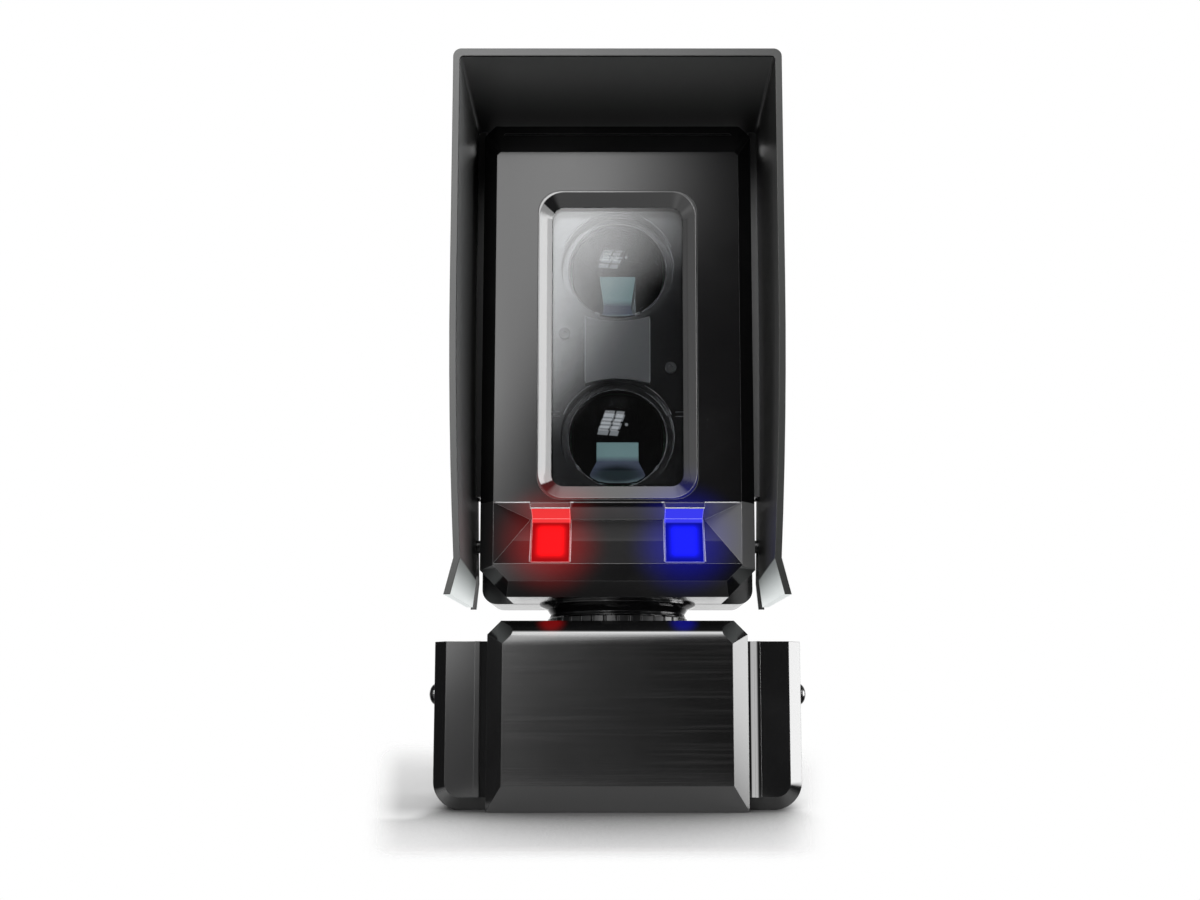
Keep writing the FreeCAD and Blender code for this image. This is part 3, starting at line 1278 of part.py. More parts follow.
def make_hood():
    """The visor: a roof and two sides that flare out at the foot."""
    body = new_body("Hood")
    crease = underside + hood_crease
    loft(body, "AdditiveLoft",
         sketch_loops(body, "HoodRear", "XZ_Plane", hood_rear,
                      hood_loop(hood_waist_rear, hood_flare_rear, crease - hood_crease_drop)),
         sketch_loops(body, "HoodFront", "XZ_Plane", hood_front,
                      hood_loop(hood_waist, hood_flare, crease)))
    ease(body, "Fillet", hood_corner,
         lambda edge: runs_along(edge, "y") and near(edge.CenterOfMass.z, head_top + hood_top))
    ease(body, "Fillet", hood_corner / 2,
         lambda edge: runs_along(edge, "y") and near(edge.CenterOfMass.z, hood_ceiling))
    # Ribs in front of and behind each rail
    grip = head_width / 2 + rail_rise - rail_grip
    root = hood_width / 2 - hood_wall / 2
    bars = []
    for side in (-1, 1):
        middle = side * (grip + root) / 2
        reach = (root - grip) / 2
        for low in (hood_rear, rail_depth + rail_width + slip):
            bars.append(rectangle(middle - reach, middle + reach, -(low + rib_width), -low))
    rib_foot = underside + rail_low
    pad(body, sketch_loops(body, "HoodRibs", "XY_Plane", rib_foot, *bars),
        hood_ceiling + hood_roof / 2 - rib_foot)
    # Keyholes for the side screws, open at the foot
    level = underside + hood_screw_rise
    narrow = hood_shank_radius + slip
    wide = hood_head_radius + slip
    step = underside + hood_crease + slip
    floor = underside - hood_foot - slip
    keyhole = [
        (-hood_screw_depth - wide, floor), (-hood_screw_depth + wide, floor),
        (-hood_screw_depth + wide, step), (-hood_screw_depth + narrow, step + wide - narrow),
        (-hood_screw_depth + narrow, level, -narrow), (-hood_screw_depth - narrow, level),
        (-hood_screw_depth - narrow, step + wide - narrow), (-hood_screw_depth - wide, step),
    ]
    carve(body, sketch_loops(body, "HoodKeyholes", "YZ_Plane", 0, keyhole),
          2 * (hood_flare + hood_wall), both_ways=True)
    node(body, "hood")


def make_rails():
    """The upright rails on the head's sides that the hood slides on."""
    rails = []
    half = head_width / 2
    low = underside + rail_low
    high = underside + rail_high
    for name, left in (("RailRight", half), ("RailLeft", -half - rail_rise)):
        rails.append(block(name, (left, -(rail_depth + rail_width), low),
                           (left + rail_rise, -rail_depth, high)))
    node(group("HoodRails", rails), "hood_rails")


def make_hood_screws():
    """The two screws that lock the hood."""
    level = underside + hood_screw_rise
    seat = hood_waist_rear + slip * 2
    reach = seat - head_width / 2 + shell_wall + slip
    right = screw("HoodScrewRight", (seat, -hood_screw_depth, level), "x", hood_head_radius,
                  hood_head_thick, hood_shank_radius, reach, hood_shank_radius)
    left = screw("HoodScrewLeft", (-seat, -hood_screw_depth, level), "-x", hood_head_radius,
                 hood_head_thick, hood_shank_radius, reach, hood_shank_radius)
    node(group("HoodScrews", [right, left]), "hood_screws")


make_base_cover()
make_wall_plate()
make_base_seal()
make_side_screws()
make_terminal_block()
make_cable_grommet()
make_harness()
make_index_ring()
make_neck()
make_neck_rings()
make_neck_screws()
make_front_shell()
make_rear_shell()
make_shell_seal()
make_shell_screws()
make_bezel()
make_window()
make_optics_carrier()
make_lens("LowerLens", "lower_lens", low_lens)
make_lens("UpperLens", "upper_lens", high_lens)
make_centre_block()
make_carrier_screws()
make_boards()
make_lamps()
make_hood()
make_rails()
make_hood_screws()
doc.recompute()

for thing in doc.Objects:
    if "Invalid" in thing.State or "Error" in thing.State:
        raise RuntimeError(f"{thing.Name} could not be made: {thing.State}")
for thing in NODES:
    if thing.Shape.isNull() or not thing.Shape.isValid():
        raise RuntimeError(f"{thing.Label} has no sound shape")

os.makedirs("parts", exist_ok=True)
for thing in NODES:
    thing.Shape.exportStep(f"parts/{thing.Label}.step")
    print(f"{thing.Label:20s} {len(thing.Shape.Solids)} solids {thing.Shape.Volume:10.1f} mm3")
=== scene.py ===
"""Looks of a through-beam photo eye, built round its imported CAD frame. Metres, degrees where named."""

import math

import bmesh
import bpy
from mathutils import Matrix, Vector


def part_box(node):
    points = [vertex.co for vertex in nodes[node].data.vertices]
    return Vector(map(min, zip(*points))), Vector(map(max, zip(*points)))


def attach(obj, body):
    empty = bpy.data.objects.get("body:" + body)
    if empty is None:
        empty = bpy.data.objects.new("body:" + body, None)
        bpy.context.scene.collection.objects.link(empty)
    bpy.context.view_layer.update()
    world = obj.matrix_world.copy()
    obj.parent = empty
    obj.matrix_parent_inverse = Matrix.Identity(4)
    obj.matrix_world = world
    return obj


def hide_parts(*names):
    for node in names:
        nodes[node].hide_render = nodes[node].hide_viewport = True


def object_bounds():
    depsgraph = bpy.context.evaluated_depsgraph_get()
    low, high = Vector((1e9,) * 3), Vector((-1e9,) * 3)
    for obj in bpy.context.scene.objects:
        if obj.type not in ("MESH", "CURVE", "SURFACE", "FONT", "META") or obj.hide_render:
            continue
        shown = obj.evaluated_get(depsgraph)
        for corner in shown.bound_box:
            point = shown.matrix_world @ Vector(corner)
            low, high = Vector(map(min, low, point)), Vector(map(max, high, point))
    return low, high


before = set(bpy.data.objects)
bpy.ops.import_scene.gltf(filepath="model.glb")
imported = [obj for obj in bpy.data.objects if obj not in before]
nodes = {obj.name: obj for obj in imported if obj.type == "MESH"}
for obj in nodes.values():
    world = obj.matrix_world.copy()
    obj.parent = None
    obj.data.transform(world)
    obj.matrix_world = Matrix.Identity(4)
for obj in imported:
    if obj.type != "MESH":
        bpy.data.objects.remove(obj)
cad_low, cad_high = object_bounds()

MM = 0.001


# Camera, placed where the photograph was taken from

CAMERA_PLACE = (0, -0.277, 0.00302)
CAMERA_PITCH = 6
CAMERA_LENS = 35.175
CAMERA_SHIFT = (-0.01458, 0.10567)
SENSOR_WIDTH = 36


def make_camera():
    data = bpy.data.cameras.new("photo_camera")
    data.lens = CAMERA_LENS
    data.sensor_width = SENSOR_WIDTH
    data.sensor_fit = "HORIZONTAL"
    data.shift_x, data.shift_y = CAMERA_SHIFT
    data.clip_start = 0.01
    camera = bpy.data.objects.new("photo_camera", data)
    camera.location = CAMERA_PLACE
    camera.rotation_euler = (math.radians(90 + CAMERA_PITCH), 0, 0)
    bpy.context.scene.collection.objects.link(camera)
    bpy.context.scene.camera = camera


# Colours

def grey(value):
    return (value, value, value, 1)


def rgb(red, green, blue):
    return (red, green, blue, 1)


def toned(colour, gain, lift=0.0):
    """The colour made darker or brighter by the gain, and paler by the lift."""
    return tuple(min(1, part * gain + lift) for part in colour[:3]) + (1,)


BLACK = rgb(0.006, 0.006, 0.0065)
RED_LIGHT = rgb(1.0, 0.006, 0.008)
BLUE_LIGHT = rgb(0.008, 0.01, 1.0)


# Small helpers for node trees

def add(tree, kind, inputs=None, **settings):
    """A node of that kind, with its settings made and its input sockets set or linked."""
    node = tree.nodes.new(kind)
    for name, value in settings.items():
        setattr(node, name, value)
    for name, value in (inputs or {}).items():
        if isinstance(value, bpy.types.NodeSocket):
            tree.links.new(value, node.inputs[name])
        else:
            node.inputs[name].default_value = value
    return node


def math_node(tree, operation, *values):
    return add(tree, "ShaderNodeMath", dict(enumerate(values)), operation=operation).outputs[0]


def absolute(tree, value):
    return math_node(tree, "ABSOLUTE", value)


def times(tree, product, *others):
    """The product of two or more masks or numbers."""
    for other in others:
        product = math_node(tree, "MULTIPLY", product, other)
    return product


def vector_math(tree, operation, *vectors):
    """A sum on vectors. A dot product, a distance and a length are numbers, and the others vectors."""
    outputs = add(tree, "ShaderNodeVectorMath", dict(enumerate(vectors)), operation=operation).outputs
    return outputs["Value" if operation in ("DOT_PRODUCT", "DISTANCE", "LENGTH") else "Vector"]


def split(tree, vector):
    """The X, Y and Z of a vector."""
    return add(tree, "ShaderNodeSeparateXYZ", {"Vector": vector}).outputs


def remap(tree, value, low, high, out_low=0.0, out_high=1.0, smooth=True):
    kind = "SMOOTHSTEP" if smooth else "LINEAR"
    sockets = {"Value": value, "From Min": low, "From Max": high, "To Min": out_low, "To Max": out_high}
    return add(tree, "ShaderNodeMapRange", sockets, interpolation_type=kind).outputs["Result"]


def band(tree, value, low, full_low, full_high, high):
    """A mask that is one between the two inner limits and nothing outside the outer ones."""
    return times(tree, remap(tree, value, low, full_low), remap(tree, value, high, full_high))


def mix_colour(tree, share, first, second):
    node = tree.nodes.new("ShaderNodeMix")
    node.data_type = "RGBA"
    for place, value in ((0, share), (6, first), (7, second)):
        if isinstance(value, bpy.types.NodeSocket):
            tree.links.new(value, node.inputs[place])
        else:
            node.inputs[place].default_value = value
    return node.outputs[2]


def place_in_object(tree):
    return tree.nodes.new("ShaderNodeTexCoord").outputs["Object"]


def own_normal(tree):
    """The normal of the surface in the object's own frame, before any relief."""
    return tree.nodes.new("ShaderNodeTexCoord").outputs["Normal"]


def new_group(name, inputs, outputs):
    """An effect shared by several finishes: (tree, its input sockets, its output sockets)."""
    tree = bpy.data.node_groups.new(name, "ShaderNodeTree")
    for label, kind, value in inputs:
        socket = tree.interface.new_socket(name=label, in_out="INPUT", socket_type="NodeSocket" + kind)
        socket.default_value = value
    for label, kind in outputs:
        tree.interface.new_socket(name=label, in_out="OUTPUT", socket_type="NodeSocket" + kind)
    return tree, tree.nodes.new("NodeGroupInput").outputs, tree.nodes.new("NodeGroupOutput").inputs


# Effects

def make_moulded_grain():
    """Fine texture of moulded plastic, with the gloss drifting over the surface."""
    tree, given, out = new_group("moulded_grain", [
        ("Grain", "Float", 4000.0), ("Gloss drift", "Float", 0.05), ("Roughness", "Float", 0.3)],
        [("Height", "Float"), ("Roughness", "Float"), ("Tone", "Float")])
    place = place_in_object(tree)
    fine = add(tree, "ShaderNodeTexNoise", {"Vector": place, "Scale": given["Grain"], "Detail": 3.0})
    broad = add(tree, "ShaderNodeTexNoise", {"Vector": place, "Scale": 90.0, "Detail": 4.0})
    drift = math_node(tree, "SUBTRACT", broad.outputs["Fac"], 0.5)
    drift = times(tree, drift, given["Gloss drift"])
    tree.links.new(fine.outputs["Fac"], out["Height"])
    tree.links.new(math_node(tree, "ADD", given["Roughness"], drift), out["Roughness"])
    tree.links.new(broad.outputs["Fac"], out["Tone"])
    return tree


def make_edge_masks_for_wear_and_highlights():
    """Softened edges: the rounded normal, and a mask that is one along each edge, used for edge wear and for
    painted edge highlights.
    """
    tree, given, out = new_group("edge_wear_and_highlight_mask", [("Edge width", "Float", 0.15 * MM)],
                                 [("Normal", "Vector"), ("Edge", "Float")])
    soft = add(tree, "ShaderNodeBevel", {"Radius": given["Edge width"]}, samples=6).outputs["Normal"]
    flat = tree.nodes.new("ShaderNodeNewGeometry").outputs["Normal"]
    tree.links.new(soft, out["Normal"])
    tree.links.new(remap(tree, vector_math(tree, "DOT_PRODUCT", soft, flat), 0.999, 0.9), out["Edge"])
    return tree


def make_brushed_lines():
    """Long fine scratches along X, as a height and as a tone of broader streaks."""
    tree, given, out = new_group("brushed_lines", [("Lines", "Float", 5000.0), ("Length", "Float", 60.0)],
                                 [("Height", "Float"), ("Tone", "Float")])
    streak_length, streak_lines = 30.0, 2400.0
    place = split(tree, place_in_object(tree))
    scratches = add(tree, "ShaderNodeCombineXYZ", {
        "X": times(tree, place["X"], given["Length"]),
        "Y": times(tree, place["Y"], given["Length"]),
        "Z": times(tree, place["Z"], given["Lines"])}).outputs["Vector"]
    fine = add(tree, "ShaderNodeTexNoise", {
        "Vector": scratches, "Scale": 1.0, "Detail": 4.0, "Roughness": 0.7})
    streaks = add(tree, "ShaderNodeCombineXYZ", {
        "X": times(tree, place["X"], streak_length),
        "Z": times(tree, place["Z"], streak_lines)}).outputs["Vector"]
    broad = add(tree, "ShaderNodeTexNoise", {"Vector": streaks, "Scale": 1.0, "Detail": 3.0})
    tree.links.new(fine.outputs["Fac"], out["Height"])
    tree.links.new(broad.outputs["Fac"], out["Tone"])
    return tree


def make_fine_dust():
    """Specks and a thin cloudy film of dust."""
    tree, given, out = new_group("fine_dust", [("Amount", "Float", 0.05)], [("Dust", "Float")])
    film_share = 0.3
    place = place_in_object(tree)
    specks = add(tree, "ShaderNodeTexVoronoi", {"Vector": place, "Scale": 700.0})
    speck = remap(tree, specks.outputs["Distance"], 0.12, 0.04)
    cloud = add(tree, "ShaderNodeTexNoise", {"Vector": place, "Scale": 60.0, "Detail": 5.0})
    film = remap(tree, cloud.outputs["Fac"], 0.45, 0.75)
    both = math_node(tree, "ADD", times(tree, speck, film), times(tree, film, film_share))
    tree.links.new(times(tree, both, given["Amount"]), out["Dust"])
    return tree


def make_lamp_glow():
    """Light that a lamp throws on what is next to it, fading with the distance from its middle."""
    tree, given, out = new_group("lamp_glow", [("Middle", "Vector", (0, 0, 0)), ("Reach", "Float", 0.01)],
                                 [("Glow", "Float")])
    full_within, fall = 0.25, 1.6
    apart = vector_math(tree, "DISTANCE", place_in_object(tree), given["Middle"])
    near = math_node(tree, "DIVIDE", apart, given["Reach"])
    fade = remap(tree, near, 1.0, full_within)
    tree.links.new(math_node(tree, "POWER", fade, fall), out["Glow"])
    return tree


def make_pane_glint():
    """A painted reflection of a small leaning window of six panes and a dot beside it, on the front of a
    lens.
    """
    tree, given, out = new_group("pane_glint", [
        ("Middle", "Vector", (0, 0, 0)), ("Half width", "Float", 2 * MM), ("Half height", "Float", 2 * MM),
        ("Lean", "Float", 0.3), ("Upper bar", "Float", 0.25), ("Lower bar", "Float", -0.45),
        ("Dot", "Vector", (0, 0, 0))], [("Glint", "Float")])
    upright_bar, tilt = 0.1, 0.09
    place = place_in_object(tree)
    part = split(tree, vector_math(tree, "SUBTRACT", place, given["Middle"]))
    leaning = math_node(tree, "SUBTRACT", part["X"], times(tree, part["Z"], given["Lean"]))
    across = math_node(tree, "DIVIDE", leaning, given["Half width"])
    tilted = math_node(tree, "ADD", part["Z"], times(tree, part["X"], tilt))
    up = math_node(tree, "DIVIDE", tilted, given["Half height"])
    panes = times(tree, remap(tree, absolute(tree, across), 1.03, 0.95),
                  remap(tree, absolute(tree, up), 1.03, 0.95))
    for value, bar in ((across, upright_bar), (up, given["Upper bar"]), (up, given["Lower bar"])):
        clear = absolute(tree, math_node(tree, "SUBTRACT", value, bar))
        panes = times(tree, panes, remap(tree, clear, 0.05, 0.11))
    dot = remap(tree, vector_math(tree, "DISTANCE", place, given["Dot"]), 0.40 * MM, 0.24 * MM)
    front = remap(tree, split(tree, own_normal(tree))["Y"], -0.3, -0.5)
    tree.links.new(times(tree, math_node(tree, "MAXIMUM", panes, dot), front), out["Glint"])
    return tree


GRAIN = make_moulded_grain()
EDGES = make_edge_masks_for_wear_and_highlights()
BRUSHED = make_brushed_lines()
DUST = make_fine_dust()
GLOW = make_lamp_glow()
PANES = make_pane_glint()


# Finishes

class Finish:
    """One material: a Principled shader whose colour, gloss and relief come from the effects."""

    def __init__(self, name):
        self.material = bpy.data.materials.new(name)
        self.material.use_nodes = True
        self.tree = self.material.node_tree
        self.shader = self.tree.nodes["Principled BSDF"]

    def set(self, **sockets):
        for name, value in sockets.items():
            self.shader.inputs[name.replace("_", " ")].default_value = value

    def feed(self, name, socket):
        self.tree.links.new(socket, self.shader.inputs[name])

    def group(self, group, **inputs):
        """Places an effect in the material with this finish's own values."""
        node = self.tree.nodes.new("ShaderNodeGroup")
        node.node_tree = group
        for name, value in inputs.items():
            node.inputs[name.replace("_", " ")].default_value = value
        return node.outputs

    def place(self):
        """The X, Y and Z of a point, in the frame of the whole object at rest."""
        return split(self.tree, place_in_object(self.tree))

    def normal(self):
        """The X, Y and Z of the surface's own normal."""
        return split(self.tree, own_normal(self.tree))

    def in_world(self, vector, kind):
        """A direction of the piece as the world sees it, so that it turns with the piece."""
        return add(self.tree, "ShaderNodeVectorTransform", {"Vector": vector}, vector_type=kind,
                   convert_from="OBJECT", convert_to="WORLD").outputs["Vector"]

    def relief(self, height, depth, normal=None):
        sockets = {"Height": height, "Strength": 1.0, "Distance": depth}
        if normal is not None:
            sockets["Normal"] = normal
        return add(self.tree, "ShaderNodeBump", sockets).outputs["Normal"]

    def grained(self, grain, drift, roughness, depth, normal=None):
        """Feeds grain to the gloss and the relief, and gives the tone that drifts with it."""
        surface = self.group(GRAIN, Grain=grain, Gloss_drift=drift, Roughness=roughness)
        self.feed("Roughness", surface["Roughness"])
        self.feed("Normal", self.relief(surface["Height"], depth, normal))
        return surface["Tone"]


def plastic(name, colour, roughness=0.25, specular=0.7, grain=4000.0, depth=0.004 * MM, drift=0.06,
            wear_and_highlight_colour=None, edge_width=0.15 * MM, dust=0.04, coat=0.0):
    """Moulded plastic: grained, with paler edges for wear and, where their colour is bright, painted edge
    highlights, and a trace of dust.
    """
    made = Finish(name)
    surface = made.group(GRAIN, Grain=grain, Gloss_drift=drift, Roughness=roughness)
    edges = made.group(EDGES, Edge_width=edge_width)
    speck = made.group(DUST, Amount=dust)["Dust"]
    base = mix_colour(made.tree, surface["Tone"], colour, toned(colour, 0.75))
    # Paler edges: wear, and where the edge colour is bright a painted edge highlight.
    base = mix_colour(made.tree, times(made.tree, edges["Edge"], 0.6), base, wear_and_highlight_colour or toned(colour, 3, 0.02))
    base = mix_colour(made.tree, speck, base, grey(0.35))
    made.feed("Base Color", base)
    made.feed("Roughness", surface["Roughness"])
    made.feed("Normal", made.relief(surface["Height"], depth, edges["Normal"]))
    made.set(Specular_IOR_Level=specular, Coat_Weight=coat, Coat_Roughness=0.03)
    made.base, made.edges, made.surface = base, edges, surface
    return made


def metal(name, colour, roughness=0.28):
    """Turned or stamped metal: fine tool marks, brighter edges, a little tarnish."""
    made = Finish(name)
    surface = made.group(GRAIN, Grain=2500.0, Gloss_drift=0.15, Roughness=roughness)
    edges = made.group(EDGES, Edge_width=0.1 * MM)
    lines = made.group(BRUSHED, Lines=6000.0, Length=200.0)
    base = mix_colour(made.tree, surface["Tone"], colour, toned(colour, 0.6))
    made.feed("Base Color", mix_colour(made.tree, edges["Edge"], base, toned(colour, 1.3)))
    made.feed("Roughness", surface["Roughness"])
    made.feed("Normal", made.relief(lines["Height"], 0.002 * MM, edges["Normal"]))
    made.set(Metallic=1.0)
    return made


def rubber(name, colour):
    """Soft matt rubber with a dusty bloom."""
    return plastic(name, colour, roughness=0.75, specular=0.35, grain=6000.0, depth=0.01 * MM, drift=0.1,
                   dust=0.12)


def dress(finish, *names):
    """Gives the finish to CAD nodes, on their objects' own slots."""
    for name in names:
        piece = nodes[name]
        if not piece.material_slots:
            piece.data.materials.append(None)
        for slot in piece.material_slots:
            slot.link = "OBJECT"
            slot.material = finish.material


# Where things are: boxes read from the frame, and places on a piece that its box doesn't give

BASE_LOW, BASE_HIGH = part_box("base_cover")
PANEL_HALF = 23.4 * MM

PIPE_LOW, PIPE_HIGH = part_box("red_light_pipe")
PIPE_HALF = 3.7 * MM
RED_X = (PIPE_LOW.x + PIPE_HIGH.x) / 2
BLUE_X = -RED_X
LAMP_BELOW_MIDDLE = 1.1 * MM
LAMP_MIDDLE_Z = (PIPE_LOW.z + PIPE_HIGH.z) / 2 - LAMP_BELOW_MIDDLE

FACE_FRONT = -55.0 * MM
FACE_FOOT = 40.7 * MM
FACE_FOOT_HALF = 23.4 * MM
# Half of the stretch between the lamps where the painted highlight of the face's edge is dim
BETWEEN_LAMPS = 8.6 * MM

HOOD_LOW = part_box("hood")[0]
# The crease above the hood's flared foot: its height at the front, and its fall towards the wall
CREASE_FRONT = 27.75 * MM
CREASE_FALL = 0.034


def lit_by_lamps(finish, strength, reach, depth=PIPE_LOW.y, height=LAMP_MIDDLE_Z, strip=None,
                 strip_level=2.6):
    """Paints the glow of both lamps into a finish beside them as emission, and a painted highlight where a
    strip is given.
    """
    tree = finish.tree
    glows = []
    for x, colour in ((RED_X, RED_LIGHT), (BLUE_X, BLUE_LIGHT)):
        glow = finish.group(GLOW, Middle=(x, depth, height), Reach=reach)["Glow"]
        glows.append(mix_colour(tree, glow, grey(0), colour))
    # A painted highlight, given as emission.
    if strip is not None:
        glows.append(mix_colour(tree, strip, grey(0), grey(strip_level)))
    total = glows[0]
    for glow in glows[1:]:
        total = vector_math(tree, "ADD", total, glow)
    finish.feed("Emission Color", total)
    finish.set(Emission_Strength=strength)


def right_half(tree, place):
    """A mask of what lies right of the middle."""
    return remap(tree, place["X"], 0.0, 1.0 * MM)


def make_base_finish():
    """Glossy black base: a brushed front panel with a painted highlight along its top edge, a painted
    highlight strip beside the right rib, downward faces painted paler, and the lamps' painted glow on its
    top edge.
    """
    brow_foot, brow_top, brow_lean = 13.2 * MM, 15.5 * MM, 0.17
    gap_left, gap_right, gap_lean = -27.3 * MM, -25.3 * MM, 0.5
    strip_left, strip_right = 26.2 * MM, 27.7 * MM
    edge_foot, edge_top = 15.7 * MM, 16.1 * MM
    glow_depth, glow_height = BASE_LOW.y + 1.8 * MM, BASE_HIGH.z - 0.7 * MM
    made = plastic("base_black", rgb(0.006, 0.006, 0.0063), roughness=0.12, specular=1.0, wear_and_highlight_colour=grey(0.08))
    tree = made.tree
    place, normal = made.place(), made.normal()
    middle = remap(tree, absolute(tree, place["X"]), PANEL_HALF, PANEL_HALF - 0.3 * MM)
    front = remap(tree, normal["Y"], -0.90, -0.97)
    panel = times(tree, middle, front)
    lines = made.group(BRUSHED, Lines=4200.0, Length=45.0)
    brushed = mix_colour(tree, remap(tree, lines["Tone"], 0.45, 0.72), grey(0.002), grey(0.012))
    # Downward faces are painted paler: a painted reflection of the floor.
    base = mix_colour(tree, remap(tree, normal["Z"], -0.2, -0.4), made.base, grey(0.06))
    made.feed("Base Color", mix_colour(tree, panel, base, brushed))
    made.feed("Roughness", math_node(tree, "ADD", made.surface["Roughness"], times(tree, panel, 0.05)))
    brow = times(tree, middle, remap(tree, place["Z"], brow_foot, brow_top, 0.0, brow_lean))
    gap = times(tree, front, band(
        tree, place["X"], gap_left, gap_left + 0.3 * MM, gap_right - 0.3 * MM, gap_right))
    lean = add(tree, "ShaderNodeCombineXYZ", {"X": times(tree, gap, gap_lean), "Z": brow}).outputs["Vector"]
    relief = made.relief(times(tree, lines["Height"], panel), 0.009 * MM, made.edges["Normal"])
    made.feed("Normal", vector_math(tree, "NORMALIZE", vector_math(tree, "ADD", relief, lean)))
    # Painted highlights, given as emission: a thin strip beside the right rib and a line along the panel's
    # top edge.
    strip = times(tree, front, band(
        tree, place["X"], strip_left, strip_left + 0.2 * MM, strip_right - 0.4 * MM, strip_right))
    top_edge_highlight = times(tree, panel, remap(tree, place["Z"], edge_foot, edge_top))
    # The lamps' glow on the top edge is a painted reflection of them.
    lit_by_lamps(made, 0.16, 3.8 * MM, glow_depth, glow_height, math_node(tree, "MAXIMUM", strip, top_edge_highlight))
    return made


def make_head_finish():
    """Glossy black front with painted edge highlights; the lamp notch has dull sides, a painted paler roof,
    upper slope and right side, painted bright edges that fade lower down, and the lamps' painted glow.
    """
    roof_front, roof_back = -53.9 * MM, -53.3 * MM
    slope_foot, slope_top = 33.4 * MM, 33.8 * MM
    dim_below, clear_above = 30.0 * MM, 38.0 * MM
    # The pale edge colour paints thin highlights along the front's edges.
    made = plastic("head_black", rgb(0.005, 0.005, 0.0053), roughness=0.11, specular=0.52, wear_and_highlight_colour=grey(0.16),
                   edge_width=0.12 * MM)
    tree = made.tree
    place, normal = made.place(), made.normal()
    notch = band(tree, place["Z"], PIPE_LOW.z - 0.5 * MM, PIPE_LOW.z, FACE_FOOT + 0.1 * MM,
                 FACE_FOOT + 0.3 * MM)
    # Painted light: the notch's downward roof is painted paler, except near its front between the lamps.
    outside = remap(tree, absolute(tree, place["X"]), BETWEEN_LAMPS, BETWEEN_LAMPS + 0.3 * MM)
    far_in = remap(tree, place["Y"], roof_front, roof_back)
    roof = times(tree, notch, remap(tree, normal["Z"], -0.3, -0.5), math_node(
        tree, "MAXIMUM", outside, far_in))
    # Painted light: upward faces of the notch above slope_foot are painted a little paler.
    slope = times(tree, notch, remap(tree, normal["Z"], 0.3, 0.5),
                  remap(tree, place["Z"], slope_foot, slope_top))
    sides = times(tree, notch, remap(tree, absolute(tree, normal["X"]), 0.2, 0.4))
    base = mix_colour(tree, roof, made.base, grey(0.17))
    base = mix_colour(tree, slope, base, grey(0.035))
    # Painted light: the right side of the notch is painted paler.
    base = mix_colour(tree, times(tree, sides, right_half(tree, place)), base, grey(0.11))
    # Painted highlights on the notch's edges, dimmer lower down.
    highlight_fade = remap(tree, place["Z"], dim_below, clear_above, 0.35, 1.0)
    edge = times(tree, made.edges["Edge"], notch, highlight_fade)
    made.feed("Base Color", mix_colour(tree, edge, base, grey(0.55)))
    made.feed("Roughness", math_node(tree, "ADD", made.surface["Roughness"], times(tree, sides, 0.75)))
    # Painted glow of the lamps on the front, as emission.
    lit_by_lamps(made, 0.18, 13 * MM)
    return made


def make_hood_finish():
    """Dark satin hood: dark front rim, inner walls painted paler towards the front, and a painted pale sheen
    on the lips in its feet.
    """
    mouth_depth = 26 * MM
    sheen_top, sheen_foot = HOOD_LOW.z + 6.2 * MM, HOOD_LOW.z + 0.5 * MM
    made = plastic("hood_black", rgb(0.03, 0.0305, 0.0305), roughness=0.33, specular=0.6, wear_and_highlight_colour=grey(0.1))
    tree = made.tree
    place, normal = made.place(), made.normal()
    rim = remap(tree, place["Y"], HOOD_LOW.y + 0.45 * MM, HOOD_LOW.y + 0.3 * MM)
    inward = remap(tree, times(tree, place["X"], normal["X"]), -12 * MM, -20 * MM)
    # Painted sheen: below the crease, the inner faces of the flared feet are painted pale and glow brighter
    # towards the foot.
    crease = math_node(tree, "MULTIPLY_ADD", place["Y"], CREASE_FALL,
                       -CREASE_FALL * HOOD_LOW.y - CREASE_FRONT)
    flared = remap(tree, math_node(tree, "ADD", place["Z"], crease), 0.1 * MM, -0.3 * MM)
    lip = times(tree, flared, math_node(
        tree, "MAXIMUM", inward, remap(tree, normal["Z"], -0.8, -0.9)))
    # Painted light and shade inside the hood: the inner walls and the roof's underside are painted paler
    # towards the front, the left wall much more than the right one, which is also painted darker further in.
    inside = math_node(tree, "MAXIMUM", inward, remap(tree, normal["Z"], -0.5, -0.8))
    mouth = times(tree, inside, remap(tree, place["Y"], HOOD_LOW.y + mouth_depth, HOOD_LOW.y))
    right_wall = times(tree, inward, right_half(tree, place))
    deep = mix_colour(tree, right_wall, made.base, grey(0.008))
    pale = mix_colour(tree, right_wall, rgb(0.24, 0.244, 0.244), rgb(0.035, 0.0355, 0.0355))
    base = mix_colour(tree, mouth, deep, pale)
    base = mix_colour(tree, lip, base, rgb(0.20, 0.21, 0.208))
    made.feed("Base Color", mix_colour(tree, rim, base, rgb(0.012, 0.013, 0.012)))
    lit = mix_colour(tree, remap(tree, place["Z"], sheen_top, sheen_foot), rgb(0.11, 0.12, 0.117),
                     rgb(0.53, 0.56, 0.555))
    made.feed("Emission Color", mix_colour(tree, lip, grey(0), lit))
    made.set(Emission_Strength=1.0)
    return made


def make_bezel_finish():
    """Polished black frame: its slopes mirror what is nearer the front, its lower band carries painted
    light, and the lamps' glow is painted on it.
    """
    made = plastic("bezel_black", rgb(0.012, 0.012, 0.0125), roughness=0.09, specular=1.0, coat=1.0,
                   edge_width=0.12 * MM, wear_and_highlight_colour=grey(0.03))
    tree = made.tree
    lean = 0.17
    frontward = made.in_world((0.0, -lean, 0.0), "VECTOR")
    leaned = vector_math(tree, "NORMALIZE", vector_math(tree, "ADD", made.edges["Normal"], frontward))
    made.feed("Normal", made.relief(made.surface["Height"], 0.004 * MM, leaned))
    # Painted light on the upward lower band and the lamps' painted glow, as emission.
    painted_lower_band = remap(tree, made.normal()["Z"], 0.4, 0.5)
    lit_by_lamps(made, 0.2, 17 * MM, strip=painted_lower_band, strip_level=0.5)
    return made


